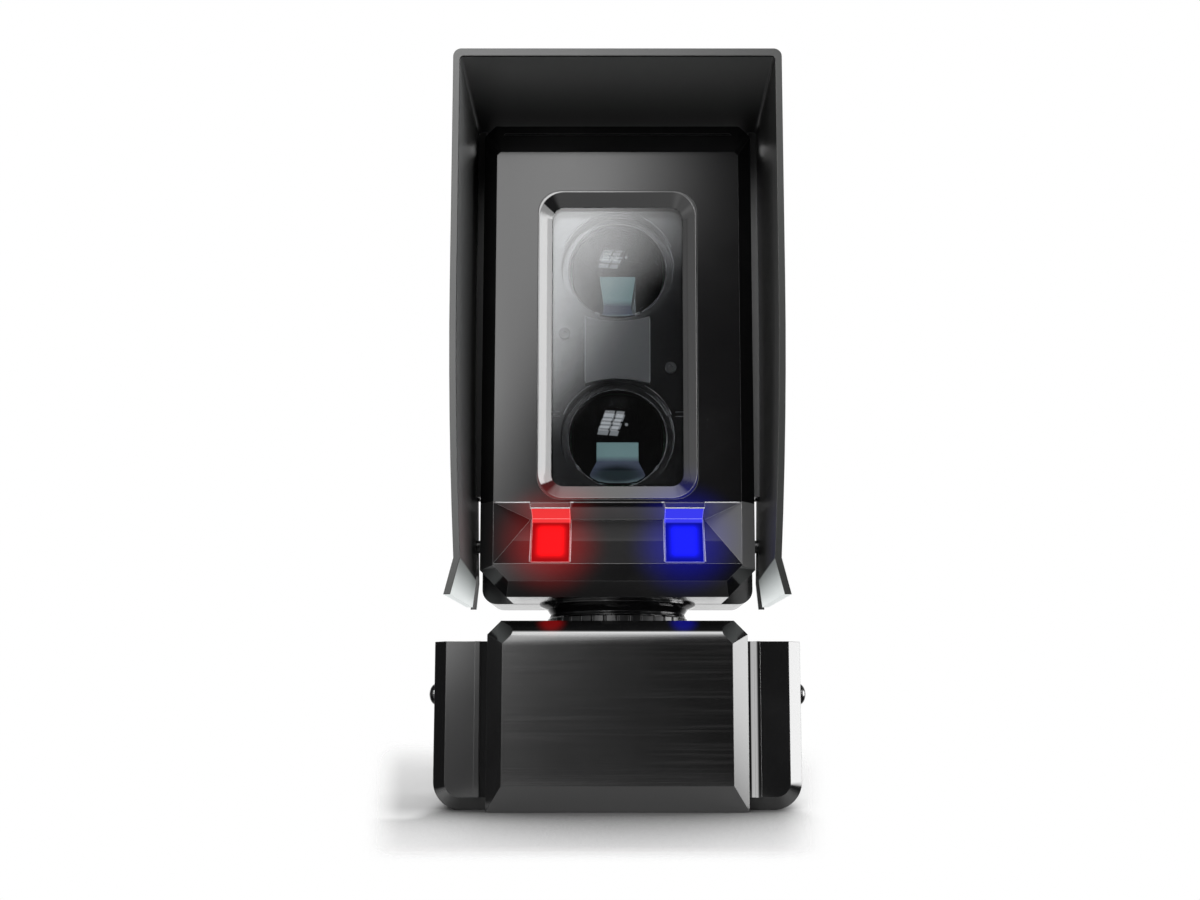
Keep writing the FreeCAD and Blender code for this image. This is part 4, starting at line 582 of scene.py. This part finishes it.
def make_window_finish():
    """Smoked clear window, polished, with a faint drift of smear."""
    made = Finish("window_smoke")
    tone = made.grained(600.0, 0.03, 0.015, 0.0002 * MM)
    made.feed("Base Color", mix_colour(made.tree, tone, rgb(0.80, 0.82, 0.84), rgb(0.74, 0.76, 0.78)))
    made.set(Transmission_Weight=1.0, IOR=1.64)
    return made


def make_lens_finish(lens, panes, half_width, half_height, lean, bars, dot, level):
    """Clear moulded lens with an anti-reflection film, with a painted reflection of a far window glinting on
    it.

    The places of its panes and of its dot are counted from the middle of the lens.
    """
    low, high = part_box(lens)
    middle = (low.z + high.z) / 2
    panes_depth, dot_depth = low.y + 1.0 * MM, low.y + 0.3 * MM
    flattening = (0.6, 1.0, 0.6)
    made = Finish(lens + "_clear")
    shallow = vector_math(made.tree, "MULTIPLY", own_normal(made.tree), flattening)
    tone = made.grained(900.0, 0.02, 0.01, 0.0001 * MM, made.in_world(shallow, "NORMAL"))
    made.feed("Base Color", mix_colour(made.tree, tone, rgb(0.93, 0.96, 0.98), rgb(0.88, 0.93, 0.96)))
    # The far window's glint is a painted reflection, given as emission.
    glint = made.group(PANES, Middle=(panes[0], panes_depth, middle + panes[1]), Half_width=half_width,
                       Half_height=half_height, Lean=lean, Upper_bar=bars[0], Lower_bar=bars[1],
                       Dot=(dot[0], dot_depth, middle + dot[1]))["Glint"]
    made.feed("Emission Color", mix_colour(made.tree, glint, grey(0), rgb(0.94, 0.97, 1.0)))
    made.set(Transmission_Weight=1.0, IOR=1.3, Specular_Tint=grey(0), Emission_Strength=level)
    return made


def make_pipe_finish(name, x, light, body):
    """Tinted light pipe: brightest over its lamp, darker towards its clear frame, with a painted pale
    highlight along its edges.
    """
    made = Finish(name)
    tree = made.tree
    edges = made.group(EDGES, Edge_width=0.2 * MM)
    tone = made.grained(1500.0, 0.05, 0.12, 0.003 * MM, edges["Normal"])
    place = made.place()
    across = absolute(tree, math_node(tree, "SUBTRACT", place["X"], x))
    up = absolute(tree, math_node(tree, "SUBTRACT", place["Z"], LAMP_MIDDLE_Z))
    core = times(tree, remap(tree, across, 3.5 * MM, 1.6 * MM), remap(tree, up, 3.9 * MM, 2.2 * MM))
    slant = remap(tree, place["Z"], LAMP_MIDDLE_Z + 3.6 * MM, LAMP_MIDDLE_Z + 4.0 * MM)
    shade = mix_colour(tree, tone, body, toned(body, 0.7))
    # Painted highlight: the edges are painted paler, and glow paler.
    rim = toned(body, 2, 0.25)
    made.feed("Base Color", mix_colour(tree, times(tree, edges["Edge"], 0.7), shade, rim))
    lit = mix_colour(tree, core, toned(light, 0.16), light)
    lit = mix_colour(tree, slant, lit, toned(light, 0.62, 0.03))
    pale = toned(light, 0.4, 0.32)
    made.feed("Emission Color", mix_colour(tree, times(tree, edges["Edge"], 0.8), lit, pale))
    made.set(Emission_Strength=1.25, Specular_IOR_Level=0.0)
    return made


def make_led_finish(name, light):
    """A lit lamp chip: bright die behind a clear skin."""
    made = Finish(name)
    tone = made.grained(2500.0, 0.1, 0.2, 0.002 * MM)
    lit = mix_colour(made.tree, tone, light, toned(light, 0.6, 0.3))
    made.feed("Base Color", lit)
    made.feed("Emission Color", lit)
    made.set(Emission_Strength=2.0)
    return made


def make_board_finish():
    """Green board: solder mask over copper tracks."""
    made = Finish("board_green")
    tree = made.tree
    surface = made.group(GRAIN, Grain=1800.0, Gloss_drift=0.1, Roughness=0.35)
    upright = add(tree, "ShaderNodeMapping", {
        "Vector": place_in_object(tree), "Rotation": (math.pi / 2, 0, 0)}).outputs["Vector"]
    tracks = add(tree, "ShaderNodeTexBrick", {
        "Vector": upright, "Scale": 260.0, "Mortar Size": 0.035, "Color1": rgb(0.01, 0.09, 0.03),
        "Color2": rgb(0.012, 0.11, 0.035), "Mortar": rgb(0.03, 0.18, 0.07)})
    made.feed("Base Color", tracks.outputs["Color"])
    made.feed("Roughness", surface["Roughness"])
    made.feed("Normal", made.relief(tracks.outputs["Fac"], 0.02 * MM))
    return made


def make_chip_finish():
    """Dark teal filter window of a chip."""
    made = Finish("chip_teal")
    tone = made.grained(1200.0, 0.05, 0.15, 0.001 * MM)
    made.feed("Base Color", mix_colour(made.tree, tone, rgb(0.012, 0.03, 0.028), rgb(0.016, 0.036, 0.036)))
    return made


def dress_frame():
    """Every CAD node gets its finish."""
    dress(make_base_finish(), "base_cover")
    dress(plastic("plate_black", rgb(0.012, 0.012, 0.013), roughness=0.4), "wall_plate")
    dress(rubber("seal_rubber", grey(0.014)), "base_seal", "cable_grommet", "neck_seal_ring", "shell_seal",
          "window_gasket")
    dress(metal("screw_black", grey(0.09), roughness=0.3), "side_screws", "hood_screws")
    dress(plastic("terminal_grey", rgb(0.33, 0.35, 0.36), roughness=0.4), "terminal_block",
          "board_connector")
    dress(metal("screw_steel", grey(0.56)), "terminal_screws", "retaining_ring", "neck_screws",
          "shell_screws", "board_screws", "lamp_screws")
    dress(plastic("wire_sleeve", rgb(0.05, 0.05, 0.055), roughness=0.5, grain=3000.0), "wire_harness")
    dress(plastic("neck_gloss", BLACK, roughness=0.1, specular=0.8), "neck")
    dress(plastic("index_black", BLACK, roughness=0.3, specular=0.5), "index_ring")
    dress(plastic("washer_white", rgb(0.72, 0.72, 0.69), roughness=0.45), "friction_washer")
    dress(make_head_finish(), "front_shell")
    dress(plastic("shell_black", rgb(0.008, 0.008, 0.0085), roughness=0.14, specular=0.9), "rear_shell")
    dress(make_bezel_finish(), "bezel")
    dress(make_window_finish(), "window")
    dress(plastic("carrier_black", BLACK, roughness=0.1, specular=0.8), "optics_carrier", "carrier_posts",
          "lamp_posts")
    dress(make_lens_finish("lower_lens", panes=(-1.2 * MM, 2.9 * MM), half_width=2.0 * MM,
                           half_height=2.15 * MM, lean=0.36, bars=(0.25, -0.46),
                           dot=(1.75 * MM, 2.05 * MM), level=0.24), "lower_lens")
    dress(make_lens_finish("upper_lens", panes=(-1.35 * MM, 2.15 * MM), half_width=1.95 * MM,
                           half_height=1.2 * MM, lean=0.5, bars=(0.6, -0.24),
                           dot=(1.75 * MM, 1.7 * MM), level=0.2), "upper_lens")
    # Their bright edge colour paints highlights along the lens rings' edges.
    dress(plastic("ring_black", rgb(0.01, 0.01, 0.011), roughness=0.12, specular=1.0, wear_and_highlight_colour=grey(0.4)),
          "lower_lens_ring", "upper_lens_ring")
    # Its bright edge colour paints highlights along the centre block's edges.
    dress(plastic("block_black", rgb(0.10, 0.10, 0.101), roughness=0.4, specular=0.8, wear_and_highlight_colour=grey(0.5)),
          "centre_block")
    dress(metal("screw_dark", grey(0.07), roughness=0.4), "carrier_screws")
    dress(make_board_finish(), "circuit_board", "lamp_board")
    dress(make_chip_finish(), "ir_receiver", "ir_emitter")
    dress(plastic("heater_ceramic", rgb(0.36, 0.30, 0.22), roughness=0.55, grain=3000.0),
          "heater_resistor")
    dress(make_pipe_finish("pipe_red", RED_X, RED_LIGHT, rgb(0.20, 0.004, 0.006)), "red_light_pipe")
    dress(make_led_finish("led_red", RED_LIGHT), "red_led")
    dress(make_pipe_finish("pipe_blue", BLUE_X, BLUE_LIGHT, rgb(0.004, 0.006, 0.16)), "blue_light_pipe")
    dress(make_led_finish("led_blue", BLUE_LIGHT), "blue_led")
    dress(make_hood_finish(), "hood")
    dress(plastic("rail_black", BLACK, roughness=0.22), "hood_rails")


# Building pieces

def new_piece(name, form, finish, body):
    """Turns a bmesh into a piece of the object that rides on a CAD body."""
    bmesh.ops.recalc_face_normals(form, faces=form.faces)
    mesh = bpy.data.meshes.new(name)
    form.to_mesh(mesh)
    form.free()
    mesh.materials.append(finish.material)
    piece = bpy.data.objects.new(name, mesh)
    bpy.context.scene.collection.objects.link(piece)
    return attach(piece, body)


def join_loops(form, first, second):
    """A closed strip of faces between two loops with as many points."""
    count = len(first)
    for at in range(count):
        after = (at + 1) % count
        form.faces.new((first[at], first[after], second[after], second[at]))


def bead(form, points, width, front, back):
    """A thin raised line through points (x, z), lying between two depths."""
    rows = []
    for at, (x, z) in enumerate(points):
        before = Vector(points[max(at - 1, 0)])
        after = Vector(points[min(at + 1, len(points) - 1)])
        along = (after - before).normalized()
        side = Vector((-along.y, along.x)) * width / 2
        rows.append([form.verts.new((x + sign * side.x, depth, z + sign * side.y))
                     for sign, depth in ((1, front), (-1, front), (-1, back), (1, back))])
    for row, following in zip(rows, rows[1:]):
        join_loops(form, row, following)
    form.faces.new(rows[0])
    form.faces.new(rows[-1][::-1])


def arc(middle_z, radius, start, end, steps=24):
    """Points (x, z) of an arc round a lens, in degrees from its right."""
    angles = [math.radians(start + (end - start) * at / steps) for at in range(steps + 1)]
    return [(radius * math.cos(a), middle_z + radius * math.sin(a)) for a in angles]


# Pieces behind the lenses

THROAT_FRONT = 46.3 * MM
THROAT_BACK = 37.0 * MM
THROAT_WALL = 0.25 * MM
MOUTH_MARGIN = 1.7 * MM
MOUTH_CORNER = 7.0 * MM
BACK_CORNER = 0.3 * MM

# Half width, depth and height of each fold line, from the top down
LOWER_MIRROR = ((3.6 * MM, 37.2 * MM, 56.2 * MM), (3.6 * MM, 37.2 * MM, 52.9 * MM),
                (4.6 * MM, 39.6 * MM, 50.6 * MM), (6.0 * MM, 45.6 * MM, 46.4 * MM))
UPPER_MIRROR = ((3.05 * MM, 37.2 * MM, 91.7 * MM), (2.35 * MM, 37.2 * MM, 86.6 * MM),
                (2.7 * MM, 39.6 * MM, 84.0 * MM), (3.6 * MM, 45.6 * MM, 80.6 * MM))
MIRROR_THICK = 0.4 * MM
BLOT_DEPTH = 41.5 * MM
BLOT_SHRINK = (0.42, 0.2, 0.62)


def rim_of_throat(form, half_width, foot, top, depth, middle_z, corner):
    """A rounded rectangle of points across the funnel at that depth."""
    points = []
    steps = 5
    for x_side, z_edge, start in ((1, top, 0), (-1, top, 90), (-1, foot, 180), (1, foot, 270)):
        centre_x = x_side * (half_width - corner)
        centre_z = middle_z + z_edge - math.copysign(corner, z_edge)
        for step in range(steps + 1):
            angle = math.radians(start + 90 * step / steps)
            points.append(form.verts.new((centre_x + corner * math.cos(angle), -depth,
                                          centre_z + corner * math.sin(angle))))
    return points


def make_throat(name, lens, window, finish):
    """The dark funnel from a lens down to its mirror, as a thin closed wall."""
    lens_low, lens_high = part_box(lens)
    middle = (lens_low.z + lens_high.z) / 2
    mouth = (lens_high.x - lens_low.x) / 2 - MOUTH_MARGIN
    half, foot, top = window
    form = bmesh.new()
    loops = []
    for outside in (0, THROAT_WALL):
        for depth, wide, low, high, corner in (
                (THROAT_FRONT, mouth, -mouth, mouth, MOUTH_CORNER),
                (THROAT_BACK, half, foot - middle, top - middle, BACK_CORNER)):
            loops.append(rim_of_throat(form, wide + outside, low - outside, high + outside,
                                       depth - outside * 0.1, middle, corner + outside))
    inner_front, inner_back, outer_front, outer_back = loops
    for first, second in ((inner_front, inner_back), (inner_back, outer_back), (outer_back, outer_front),
                          (outer_front, inner_front)):
        join_loops(form, first, second)
    new_piece(name, form, finish, "head")


def make_mirror(name, outline, finish):
    """A folded mirror: an upright part over its chip and a foot that slopes to the lens."""
    form = bmesh.new()
    front = []
    back = []
    for half, depth, height in outline:
        for x in (-half, half):
            front.append(form.verts.new((x, -depth, height)))
            back.append(form.verts.new((x, -depth + MIRROR_THICK, height - MIRROR_THICK / 2)))
    for at in range(0, len(front) - 2, 2):
        left, right, next_left, next_right = at, at + 1, at + 2, at + 3
        form.faces.new((front[left], front[right], front[next_right], front[next_left]))
        form.faces.new((back[left], back[next_left], back[next_right], back[right]))
        form.faces.new((front[left], front[next_left], back[next_left], back[left]))
        form.faces.new((front[right], back[right], back[next_right], front[next_right]))
    form.faces.new((front[0], back[0], back[1], front[1]))
    form.faces.new((front[-2], front[-1], back[-1], back[-2]))
    new_piece(name, form, finish, "head")


def make_mirror_finish(name, fold, foot, blot, strength):
    """Mirror film that turns from teal to violet grey at the fold, with a dark blot in its foot; it glows
    with its own colours as painted light.
    """
    made = Finish(name)
    tree = made.tree
    tone = made.grained(1500.0, 0.08, 0.3, 0.002 * MM)
    place = place_in_object(tree)
    height = split(tree, place)["Z"]
    middle = (fold + foot) / 2
    shade = mix_colour(tree, tone, rgb(0.115, 0.185, 0.175), rgb(0.13, 0.195, 0.20))
    below_fold = remap(tree, height, fold + 1.2 * MM, fold - 0.3 * MM)
    shade = mix_colour(tree, below_fold, shade, rgb(0.045, 0.05, 0.075))
    shade = mix_colour(tree, remap(tree, height, middle, foot), shade, rgb(0.075, 0.10, 0.105))
    apart = vector_math(tree, "SUBTRACT", place, (0, -BLOT_DEPTH, middle - 0.4 * MM))
    spread = vector_math(tree, "LENGTH", vector_math(tree, "MULTIPLY", apart, BLOT_SHRINK))
    dark = times(tree, remap(tree, spread, 2.5 * MM, 1.1 * MM), blot)
    shade = mix_colour(tree, dark, shade, rgb(0.002, 0.003, 0.006))
    made.feed("Base Color", shade)
    # The film glows with its own colours: painted light.
    made.feed("Emission Color", shade)
    made.set(Emission_Strength=strength, Specular_IOR_Level=0.2)
    return made


def make_mirrors():
    """The funnel and the folded mirror behind each lens."""
    throat = plastic("throat_black", rgb(0.001, 0.001, 0.0011), roughness=0.6, specular=0.0, dust=0.0,
                     wear_and_highlight_colour=grey(0.002))
    # The last number is how strongly each mirror film glows with painted light.
    for kind, lens, outline, blot, strength in (("receiver", "lower_lens", LOWER_MIRROR, 1.0, 1.15),
                                                ("emitter", "upper_lens", UPPER_MIRROR, 0.0, 0.85)):
        top_line, fold_line, _, foot_line = outline
        window = (top_line[0] + 0.1 * MM, fold_line[2] - 3.0 * MM, top_line[2] + 0.1 * MM)
        make_throat(kind + "_throat", lens, window, throat)
        film = make_mirror_finish(kind + "_film", fold_line[2], foot_line[2], blot, strength)
        make_mirror(kind + "_mirror", outline, film)


# Trims with painted edge highlights, lids and screw heads

def make_lens_trims(finish):
    """Thin pale beads round each lens as painted highlights of its ring's edges, and the small catches that
    hold it.
    """
    line, catch = 0.12 * MM, 0.35 * MM
    carrier_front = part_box("optics_carrier")[0].y
    for lens, ring, catches in (("lower_lens", "lower_lens_ring", (218, 322)),
                                ("upper_lens", "upper_lens_ring", (246, 294))):
        low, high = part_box(lens)
        ring_low, ring_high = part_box(ring)
        middle = (low.z + high.z) / 2
        seat = ring_high.x
        front = ring_low.y
        form = bmesh.new()
        bead(form, arc(middle, seat - 1.35 * MM, -60, 240, 60), 0.09 * MM, front - line, front)
        for start, end in ((22, 62), (118, 158)):
            bead(form, arc(middle, seat + 0.35 * MM, start, end), 0.12 * MM, carrier_front - 0.1 * MM,
                 carrier_front)
            bead(form, arc(middle, seat - 0.3 * MM, start + 3, end - 3), 0.1 * MM, front - line, front)
        for angle in catches:
            bead(form, arc(middle, seat - 1.3 * MM, angle - 3, angle + 3, 4), 0.5 * MM, front - catch, front)
        new_piece(lens + "_trim", form, finish, "head")


def make_carrier_trim(finish):
    """Split lines of the carrier beside the lower lens, and the sides of the centre block, as pale beads
    that are painted highlights of their edges.
    """
    split_heights = (59.4 * MM, 58.5 * MM)
    split_inner, split_outer = 11.4 * MM, 14.0 * MM
    carrier_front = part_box("optics_carrier")[0].y
    block_low, block_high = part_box("centre_block")
    form = bmesh.new()
    for side in (-1, 1):
        for height in split_heights:
            bead(form, [(side * split_inner, height), (side * split_outer, height)], 0.1 * MM,
                 carrier_front - 0.1 * MM, carrier_front)
        edge = side * (block_high.x + 0.06 * MM)
        bead(form, [(edge, block_low.z + 0.4 * MM), (edge, block_high.z - 0.4 * MM)], 0.12 * MM,
             block_low.y, block_low.y + 0.3 * MM)
    new_piece("carrier_trim", form, finish, "head")


def make_face_trim(lid_finish, edge_finish):
    """The lower edge of the face, which steps down over each lamp, as a pale bead that is its painted
    highlight, and the lids over the lamps.
    """
    half, step, slant = PIPE_HALF + 0.1 * MM, 1.1 * MM, 0.1 * MM
    lid_deep, lid_middle = 0.6 * MM, FACE_FRONT + 0.35 * MM
    lids = bmesh.new()
    points = [(-FACE_FOOT_HALF, FACE_FOOT)]
    for middle in (RED_X, BLUE_X):
        points += [(middle - half - slant, FACE_FOOT), (middle - half, FACE_FOOT - step),
                   (middle + half, FACE_FOOT - step), (middle + half + slant, FACE_FOOT)]
        for corner in bmesh.ops.create_cube(lids, size=1.0)["verts"]:
            corner.co = Vector((middle + corner.co.x * half * 2, lid_middle + corner.co.y * lid_deep,
                                FACE_FOOT - step / 2 + corner.co.z * step))
    points.append((FACE_FOOT_HALF, FACE_FOOT))
    bmesh.ops.bevel(lids, geom=lids.edges[:], offset=0.08 * MM, segments=2, affect="EDGES")
    new_piece("lamp_lids", lids, lid_finish, "head")
    edge = bmesh.new()
    bead(edge, points, 0.2 * MM, FACE_FRONT - 0.02 * MM, FACE_FRONT + 0.3 * MM)
    new_piece("face_edge", edge, edge_finish, "head")


def make_lamp_frames(finish):
    """Thin pale lines that frame each light pipe, as painted highlights of its edges."""
    top_depth, top_height = -50.25 * MM, FACE_FOOT - 2.6 * MM
    foot_depth, foot_height = -54.95 * MM, FACE_FOOT - 11.4 * MM
    half_wide, deep = 0.09 * MM, 0.4 * MM
    for name, middle in (("red_frame", RED_X), ("blue_frame", BLUE_X)):
        form = bmesh.new()
        for x in (middle - PIPE_HALF - 0.2 * MM, middle + PIPE_HALF + 0.2 * MM):
            slab = [form.verts.new((x + side, depth + behind, height))
                    for side in (-half_wide, half_wide) for behind in (0, deep)
                    for depth, height in ((top_depth, top_height), (foot_depth, foot_height))]
            for face in ((0, 1, 3, 2), (4, 6, 7, 5), (0, 4, 5, 1), (2, 3, 7, 6), (0, 2, 6, 4), (1, 5, 7, 3)):
                form.faces.new([slab[at] for at in face])
        new_piece(name, form, finish, "head")


def make_screw_domes(finish):
    """Domed, rounded heads of the two side screws, in place of the plain ones."""
    low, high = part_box("side_screws")
    sunk, collar = BASE_HIGH.x - 0.6 * MM, BASE_HIGH.x + 0.15 * MM
    middle_y, middle_z = (low.y + high.y) / 2, (low.z + high.z) / 2
    radius = (high.z - low.z) / 2
    rise = high.x - collar
    turns = 32
    profile = [(sunk, radius * 0.96), (collar, radius)]
    for degrees in (15, 30, 45, 60, 75):
        angle = math.radians(degrees)
        profile.append((collar + rise * math.sin(angle), radius * math.cos(angle)))
    form = bmesh.new()
    for side in (-1, 1):
        rings = [[form.verts.new((side * x, middle_y + r * math.cos(2 * math.pi * at / turns),
                                  middle_z + r * math.sin(2 * math.pi * at / turns)))
                  for at in range(turns)] for x, r in profile]
        for ring, following in zip(rings, rings[1:]):
            join_loops(form, ring, following)
        form.faces.new(rings[0])
        form.faces.new(rings[-1])
    piece = new_piece("side_screw_domes", form, finish, "base")
    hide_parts("side_screws")


def make_edge_finish():
    """Painted highlight of the face's edge, dimmed between the lamps."""
    made = plastic("face_edge_highlight", rgb(0.55, 0.55, 0.56), roughness=0.2, specular=1.0)
    across = absolute(made.tree, made.place()["X"])
    between = remap(made.tree, across, BETWEEN_LAMPS, BETWEEN_LAMPS - 0.3 * MM)
    made.feed("Base Color", mix_colour(made.tree, between, made.base, grey(0.05)))
    return made


def make_trims():
    """Pale edge beads that are painted highlights, catches, lids and screw heads that are too fine for the
    CAD pieces; the lids and pipe frames carry the lamps' painted glow.
    """
    # Pale beads of this colour are painted highlights of edges; the catches share it.
    trim = plastic("trim_highlight_grey", rgb(0.22, 0.22, 0.225), roughness=0.2, specular=1.0)
    make_lens_trims(trim)
    make_carrier_trim(trim)
    lid = plastic("lid_black", rgb(0.02, 0.02, 0.021), roughness=0.15, specular=0.72)
    # Painted glow of the lamps on the lids, as emission.
    lit_by_lamps(lid, 0.25, 13 * MM)
    make_face_trim(lid, make_edge_finish())
    # Pale lines as painted highlights, with the lamps' painted glow.
    frame_highlight = plastic("frame_highlight", rgb(0.26, 0.26, 0.27), roughness=0.2, specular=1.0)
    lit_by_lamps(frame_highlight, 0.5, 9 * MM)
    make_lamp_frames(frame_highlight)
    make_screw_domes(metal("dome_black", grey(0.2), roughness=0.2))


# Studio

SOFT_LIGHTS = (
    # azimuth, elevation, full inside, gone outside, strength
    (-21, 27, 16.5, 22.4, 4.4),
    (0.5, 24.5, 1, 5, 1.1),
    (-60, 12, 12, 26, 0.45),
    (-18, 10, 9.5, 14.5, 3.0),
    (-30, -10, 8, 36, 0.5),
    (96, 7, 14, 21, 8.0),
    (0, 46, 8, 18.5, 5.5),
    (0, -40, 12, 32, 0.4),
    (0, 84, 12, 21, 0.8),
    (180, 0, 30, 50, 1.0),
    (180, 52, 16, 34, 1.5),
)
AMBIENT_LEVEL = 0.03

LENSES_MIDDLE = Vector((0, -0.050, 0.072))
STRIP_WIDTH, STRIP_HEIGHT = 0.26, 0.75
STRIP_HEADING = (60, 14)
STRIP_LEVEL = 5.5

FLOOR_REACH = 0.45
SHELTER_REACH = 0.07
# Where the floor, its painted shade and its painted shadow trail fade, from front to back
NEAR_EDGE = (-0.119, -0.097)
BASE_FRONT_EDGE = (-0.075, -0.055)
TRAIL_START = (-0.07, -0.035)
FAR_EDGE = (0.05, 0.40)
# The same from left to right, as the way aside over the way from the camera's place
LEFT_EDGE = (-0.215, -0.178)
RIGHT_EDGE = (0.13, 0.18)


def heading(azimuth, elevation):
    """A direction from the object: azimuth 0 is the front and 90 the right."""
    a, e = math.radians(azimuth), math.radians(elevation)
    return Vector((math.sin(a) * math.cos(e), -math.cos(a) * math.cos(e), math.sin(e)))


def make_world():
    """White to the camera; to the object, a dark room with the soft lights."""
    world = bpy.data.worlds.new("studio")
    bpy.context.scene.world = world
    world.use_nodes = True
    tree = world.node_tree
    tree.nodes.clear()
    way = tree.nodes.new("ShaderNodeTexCoord").outputs["Generated"]
    level = AMBIENT_LEVEL
    for azimuth, elevation, inner, outer, strength in SOFT_LIGHTS:
        near = vector_math(tree, "DOT_PRODUCT", way, heading(azimuth, elevation))
        lobe = remap(tree, near, math.cos(math.radians(outer)), math.cos(math.radians(inner)), 0.0, strength)
        level = math_node(tree, "ADD", lobe, level)
    studio = add(tree, "ShaderNodeBackground", {"Color": grey(1), "Strength": level})
    white = add(tree, "ShaderNodeBackground", {"Color": grey(1), "Strength": 1.0})
    seen = tree.nodes.new("ShaderNodeLightPath").outputs["Is Camera Ray"]
    both = add(tree, "ShaderNodeMixShader", {0: seen, 1: studio.outputs[0], 2: white.outputs[0]})
    add(tree, "ShaderNodeOutputWorld", {"Surface": both.outputs[0]})


def make_lamp():
    """A tall rectangular lamp on the right, a metre from the lenses and facing them."""
    data = bpy.data.lights.new("right_strip", "AREA")
    data.shape = "RECTANGLE"
    data.size, data.size_y = STRIP_WIDTH, STRIP_HEIGHT
    data.energy = STRIP_LEVEL * math.pi * STRIP_WIDTH * STRIP_HEIGHT
    lamp = bpy.data.objects.new("right_strip", data)
    way = heading(*STRIP_HEADING)
    lamp.location = LENSES_MIDDLE + way
    lamp.rotation_euler = (-way).to_track_quat("-Z", "Y").to_euler()
    bpy.context.scene.collection.objects.link(lamp)


def make_floor_finish():
    """Pale floor that shows the object's shadow, partly cast by the lights and partly painted: shade where
    ambient occlusion finds the object near, and a trail behind its left side; it fades out into the white
    round it.
    """
    made = Finish("floor_pale")
    tree = made.tree
    place = place_in_object(tree)
    part = split(tree, place)
    cloud = add(tree, "ShaderNodeTexNoise", {"Vector": place, "Scale": 3.0, "Detail": 4.0})
    pale = mix_colour(tree, cloud.outputs["Fac"], grey(0.88), grey(0.90))
    # Painted shade: the floor's colour darkens where ambient occlusion finds the object near, but not beside
    # the base.
    shelter = add(tree, "ShaderNodeAmbientOcclusion", {"Distance": SHELTER_REACH}, samples=8).outputs["AO"]
    shade = math_node(tree, "POWER", remap(tree, shelter, 0.45, 0.96, 0.2, 1.0, smooth=False), 1.3)
    aside = math_node(tree, "SUBTRACT", absolute(tree, part["X"]), BASE_HIGH.x)
    beside = times(tree, remap(tree, aside, -6 * MM, 3 * MM), remap(tree, part["Y"], *BASE_FRONT_EDGE))
    shade = math_node(tree, "MAXIMUM", shade, beside)
    away = math_node(tree, "SUBTRACT", part["Y"], CAMERA_PLACE[1])
    slant = math_node(tree, "DIVIDE", part["X"], away)
    left = remap(tree, slant, *LEFT_EDGE)
    right = remap(tree, slant, *reversed(RIGHT_EDGE))
    # Painted shadow: a trail of shade behind the object's left side, outlined by slants from the camera's
    # place.
    behind = band(tree, part["Y"], *TRAIL_START, *FAR_EDGE)
    painted_trail = times(tree, left, behind, remap(tree, slant, 0.0, -0.1, 0.3, 1.0))
    shade = times(tree, shade, remap(tree, painted_trail, 0.0, 1.0, 1.0, 0.7, smooth=False))
    made.feed("Base Color", mix_colour(tree, shade, grey(0.0), pale))
    ahead = band(tree, part["Y"], *NEAR_EDGE, *FAR_EDGE)
    made.feed("Alpha", times(tree, ahead, left, right))
    made.set(Roughness=0.8, Specular_IOR_Level=0.1)
    return made


def make_floor():
    """A round floor just under the object."""
    mesh = bpy.data.meshes.new("floor")
    form = bmesh.new()
    bmesh.ops.create_circle(form, cap_ends=True, segments=96, radius=FLOOR_REACH)
    form.to_mesh(mesh)
    form.free()
    mesh.materials.append(make_floor_finish().material)
    floor = bpy.data.objects.new("floor", mesh)
    floor.location = (0, 0, cad_low.z - 0.05 * MM)
    bpy.context.scene.collection.objects.link(floor)


make_camera()
make_world()
make_lamp()
make_floor()
dress_frame()
make_mirrors()
make_trims()

scene = bpy.context.scene
scene.view_settings.view_transform = "Standard"
